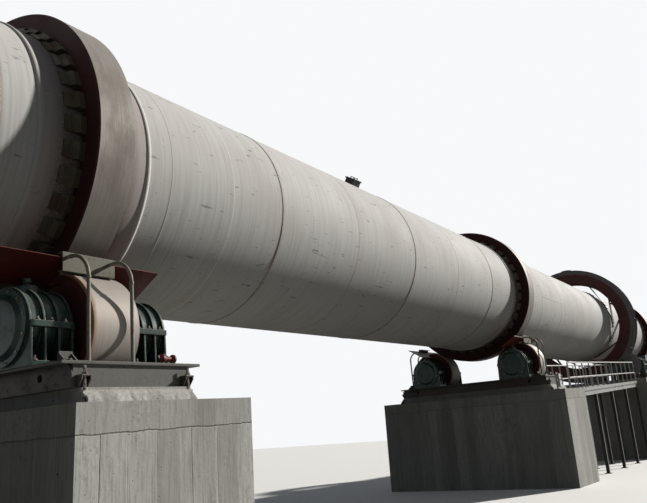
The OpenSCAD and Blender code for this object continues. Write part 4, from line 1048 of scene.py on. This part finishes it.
# Gear guard: a sheet steel casing in bolted segments with flanges to both sides, brick red on the flat sides and
# dark grey on the rim. It has a capped vent on top and a hatch to look at the mesh of the teeth.
guard_paint, shader, place, tone = coated("guard_red_paint", (0.120, 0.040, 0.034), (0.050, 0.028, 0.025),
                                          (0.14, 0.055, 0.03), (0.85, 0.5), 3.2, bare=(0.24, 0.17, 0.14),
                                          dust=(0.26, 0.22, 0.19), dusty=0.5)
kiln = grouped(kiln_group, {"Place": place})
on_rim = larger(step(absolute(kiln["Facing Along"]), 0.6, 0.3), step(kiln["Radius"], 1.478, 1.486))
rim_tone = mixed(clouds(place, 9.0, 4.0, 0.6), (0.150, 0.152, 0.160), (0.270, 0.268, 0.270))
fill(shader, {"Base Color": mixed(times(on_rim, 0.88), tone, rim_tone)})
dressed(guard_paint, "gear_guard")

cowl = turned_part([(0.1405, 0.0), (0.150, 0.002), (0.154, 0.010), (0.154, 0.024), (0.146, 0.031),
                    (0.1405, 0.031)], 40)
placed("guard_vent_cowl", cowl, [round_kiln(gear_station, 0.0, 1.6045)], stand_paint, "foundation")

pinion_angle = math.atan2(-pinion_across, pinion_upright)


def clear_of_pinion(angle):
    """Whether the guard's flange is whole at that angle, clear of its opening for the pinion."""
    return abs((angle - pinion_angle + math.pi) % (2 * math.pi) - math.pi) > math.radians(13)


clear_angles = [count * math.pi / 36 for count in range(72) if clear_of_pinion(count * math.pi / 36)]
flange_bolt_places = [round_kiln(gear_station + out * 0.1903, angle, 1.582) @ end_on(out)
                      for angle in clear_angles for out in (-1, 1)]
joint_angles = [count * math.pi / 6 for count in range(12) if clear_of_pinion(count * math.pi / 6)]
joint_bolt_places = [round_kiln(gear_station + out * 0.1953, angle + aside / radius, radius) @ end_on(out)
                     for angle in joint_angles for out in (-1, 1) for radius in (1.235, 1.300, 1.380, 1.460)
                     for aside in (-0.014, 0.014)]
bolted("guard_flange_bolts", hex_bolt(0.007), flange_bolt_places, "foundation")
bolted("guard_joint_bolts", hex_bolt(0.005), joint_bolt_places, "foundation")

strap = box_between((-0.0025, -0.024, -0.172), (0.0025, 0.024, 0.172), 0.002)
strap_places = [round_kiln(gear_station + out * 0.1928, angle, 1.377) for angle in joint_angles
                for out in (-1, 1)]
placed("guard_joint_straps", strap, strap_places, guard_paint, "foundation")

hatch = [box_between((-0.006, -0.085, -0.075), (0.000, 0.085, 0.075), 0.004),
         box_between((-0.010, -0.073, -0.063), (-0.006, 0.073, 0.063), 0.003)]
for height in (-0.045, 0.045):
    hatch.append(moved(turned_part([(0.007, -0.018), (0.007, 0.018)], 12), -0.006, 0.090, height))
    hatch.append(box_between((-0.010, 0.060, height - 0.010), (-0.005, 0.095, height + 0.010), 0.001))
hatch.append(moved(turned_part([(0.004, -0.030), (0.004, 0.030)], 10), -0.026, -0.062, 0))
for height in (-0.028, 0.028):
    hatch.append(box_between((-0.026, -0.066, height - 0.003), (-0.006, -0.058, height + 0.003), 0.001))
hatch_places = [round_kiln(gear_station - 0.1903, pinion_angle + turn, 1.370) for turn in (0.42, -0.42)]
placed("guard_hatches", joined("hatch_pattern", hatch), hatch_places, guard_paint, "foundation")


# Drive: pinion bearings and gearbox in the same green enamel as the roller bearings, on welded beds with anchor
# bolts, and a finned motor in grey-blue paint.
motor_paint = painted("motor_grey_blue", (0.105, 0.165, 0.205), (0.045, 0.048, 0.045), (0.13, 0.06, 0.035),
                      (0.6, 0.35), 5.0, bare=(0.30, 0.30, 0.29), dust=(0.33, 0.31, 0.28), sheen=0.25)
dressed(motor_paint, "main_motor")


def on_drive(along, across, upright):
    """A place on the drive: along from the girth gear, across and above from the pinion's axis, Z square to it."""
    return at_kiln(gear_station + along, pinion_across + across, pinion_upright + upright)


box_at, motor_at, motor_out, intermediate_out = 1.026, 1.896, -0.150, -0.150
bed_top = -0.2397
cap_bolts, small_bolts, anchor_places = [], [], []
for end in (-0.369, 0.369):
    cap_bolts += [on_drive(end + along, aside * 1.02, 0.0143) for aside in (-0.083, 0.083)
                  for along in (-0.045, 0.045)]
    cap_bolts += [on_drive(end + along, aside, -0.2097) for aside in (-0.170, 0.170)
                  for along in (-0.050, 0.050)]
    for side in (-1, 1):
        small_bolts += ring_places(on_drive(end + side * 0.0753, 0, 0), side, 8, 0.084, math.pi / 8)
    anchor_places += [on_drive(end, aside, bed_top) for aside in (-0.215, 0.215)]
cap_bolts += [on_drive(box_at + along, aside, height) for along in (-0.27, -0.16, 0.0, 0.16, 0.27)
              for aside in (-0.337, 0.187) for height in (0.0163, -0.2057)]
for along, aside, radius, count in ((-0.3403, 0.0, 0.110, 8), (0.3403, 0.0, 0.102, 8),
                                    (-0.3353, intermediate_out, 0.075, 6)):
    small_bolts += ring_places(on_drive(box_at + along, aside, 0), math.copysign(1, along), count, radius,
                               math.pi / count)
small_bolts += [on_drive(box_at + along, aside, 0.2163) for along in (-0.10, 0.0, 0.10)
                for aside in (-0.140, -0.010)]
cap_bolts += [on_drive(motor_at + along, motor_out + aside, -0.2137) for along in (-0.19, 0.19)
              for aside in (-0.165, 0.165)]
anchor_places += [on_drive(along, aside, bed_top) for along in (0.80, 1.20, 1.62, 2.10)
                  for aside in (-0.352, 0.272)]
bolted("drive_bolts", hex_bolt(0.013, 0.020), cap_bolts, "foundation")
bolted("drive_cover_bolts", hex_bolt(0.006), small_bolts, "foundation")
bolted("drive_anchor_bolts", hex_bolt(0.014, 0.034), anchor_places, "foundation")

eye_foot = turned_part([(0.020, 0.0), (0.020, 0.010), (0.013, 0.014), (0.013, 0.020)], 16)
bpy.ops.mesh.primitive_torus_add(major_radius=0.026, minor_radius=0.0065, major_segments=24,
                                 minor_segments=10, location=(0, 0, 0.044), rotation=(math.pi / 2, 0, 0))
lifting_eye = joined("eye_pattern", [eye_foot, bpy.context.object])
eye_places = [on_drive(box_at + along, -0.075, 0.190 + seat_gap) for along in (-0.20, 0.20)]
placed("lifting_eyes", lifting_eye, eye_places, enamel, "foundation")
vent = turned_part([(0.026, 0), (0.026, 0.010), (0.020, 0.013), (0.020, 0.030), (0.027, 0.034),
                    (0.027, 0.052), (0.018, 0.060)], 20)
placed("gearbox_breather", vent, [on_drive(box_at, -0.075, 0.2163)], enamel, "foundation")

fan_end = on_drive(motor_at + 0.3203, motor_out, 0) @ end_on(1)
cowl = turned_part([(0.199, 0.0), (0.199, 0.050), (0.190, 0.066), (0.176, 0.072)], 48)
placed("motor_cowl", cowl, [fan_end], motor_paint, "foundation")
grille = []
for count in range(5):
    bpy.ops.mesh.primitive_torus_add(major_radius=0.045 + 0.028 * count, minor_radius=0.004,
                                     major_segments=40, minor_segments=6, location=(0, 0, 0))
    grille.append(bpy.context.object)
bolted("motor_grille", joined("grille_pattern", grille), [fan_end @ shift(0, 0, 0.073)], "foundation")
lid = [box_between((-0.106, -0.116, 0.0), (0.106, 0.096, 0.014), 0.004)]
lid += [moved(hex_bolt(0.006), along, aside, 0.014) for along in (-0.088, 0.088) for aside in (-0.098, 0.078)]
placed("motor_terminal_lid", joined("terminal_pattern", lid), [on_drive(motor_at, motor_out, 0.2753)],
       motor_paint, "foundation")


# Walkway: checkered plate on channels, with welded brackets over its legs, and pipe railings that slide into
# short sockets. Everything is painted light grey.
walk_paint, shader, place, tone = coated("walkway_grey", (0.40, 0.41, 0.40), (0.14, 0.125, 0.10),
                                         (0.18, 0.085, 0.05), (0.6, 0.7), 4.0, bare=(0.42, 0.41, 0.39),
                                         dust=(0.36, 0.33, 0.28), dusty=0.5)
tread = put("ShaderNodeTexVoronoi", {"Vector": stretched(place, (1.0, 2.4, 1.0)), "Scale": 24.0,
                                     "Randomness": 0.0})
facing_up = step(lying_along(surface_normal(place), (0, 0, 1)), 0.85, 0.95)
stud = times(step(tread.outputs["Distance"], 0.34, 0.26), facing_up)
fill(shader, {"Base Color": mixed(times(stud, 0.5), tone, (0.30, 0.29, 0.27)), "Normal": raised(stud, 0.002)})
rail_paint = painted("railing_grey", (0.52, 0.53, 0.52), (0.22, 0.20, 0.17), (0.20, 0.095, 0.055), (0.5, 0.6),
                     7.0, bare=(0.35, 0.33, 0.30), dusty=0.4)
dressed(walk_paint, "walkway_deck")
dressed(rail_paint, "railing_near", "railing_far")


# Control boxes: two white enamelled cases on a post, each with a lid that overlaps its rim, hinges and latches.
box_paint = painted("box_white_enamel", (0.66, 0.67, 0.65), (0.24, 0.22, 0.19), (0.20, 0.10, 0.06),
                    (0.55, 0.5), 14.0, bare=(0.30, 0.28, 0.26), dusty=0.5, sheen=0.2)
dressed(box_paint, "control_box")
post_place = at_kiln(-0.585, -1.530, pier_top + seat_gap)
lids, latches = [], []
for (left, front, bottom), (right, back, top) in (((-0.065, -0.060, 0.040), (0.065, -0.008, 0.130)),
                                                  ((-0.060, -0.055, 0.160), (0.060, -0.008, 0.240))):
    lids.append(box_between((left - 0.003, front - 0.008, bottom - 0.003),
                            (right + 0.003, front + 0.004, top + 0.003), 0.002))
    middle = (bottom + top) / 2
    for height in (middle - 0.024, middle + 0.024):
        lids.append(moved(turned_part([(0.004, -0.010), (0.004, 0.010)], 10), left - 0.005, front - 0.004,
                          height))
    latches.append(box_between((right - 0.022, front - 0.014, middle - 0.012),
                               (right - 0.012, front - 0.008, middle + 0.012), 0.002))
    gland = turned_part([(0.007, -0.014), (0.009, -0.010), (0.009, 0.0)], 12)
    latches.append(moved(gland, (left + right) / 2, (front + back) / 2, bottom))
placed("control_box_lids", joined("lids_pattern", lids), [post_place], box_paint, "foundation")
bolted("control_box_latches", joined("latches_pattern", latches), [post_place], "foundation")
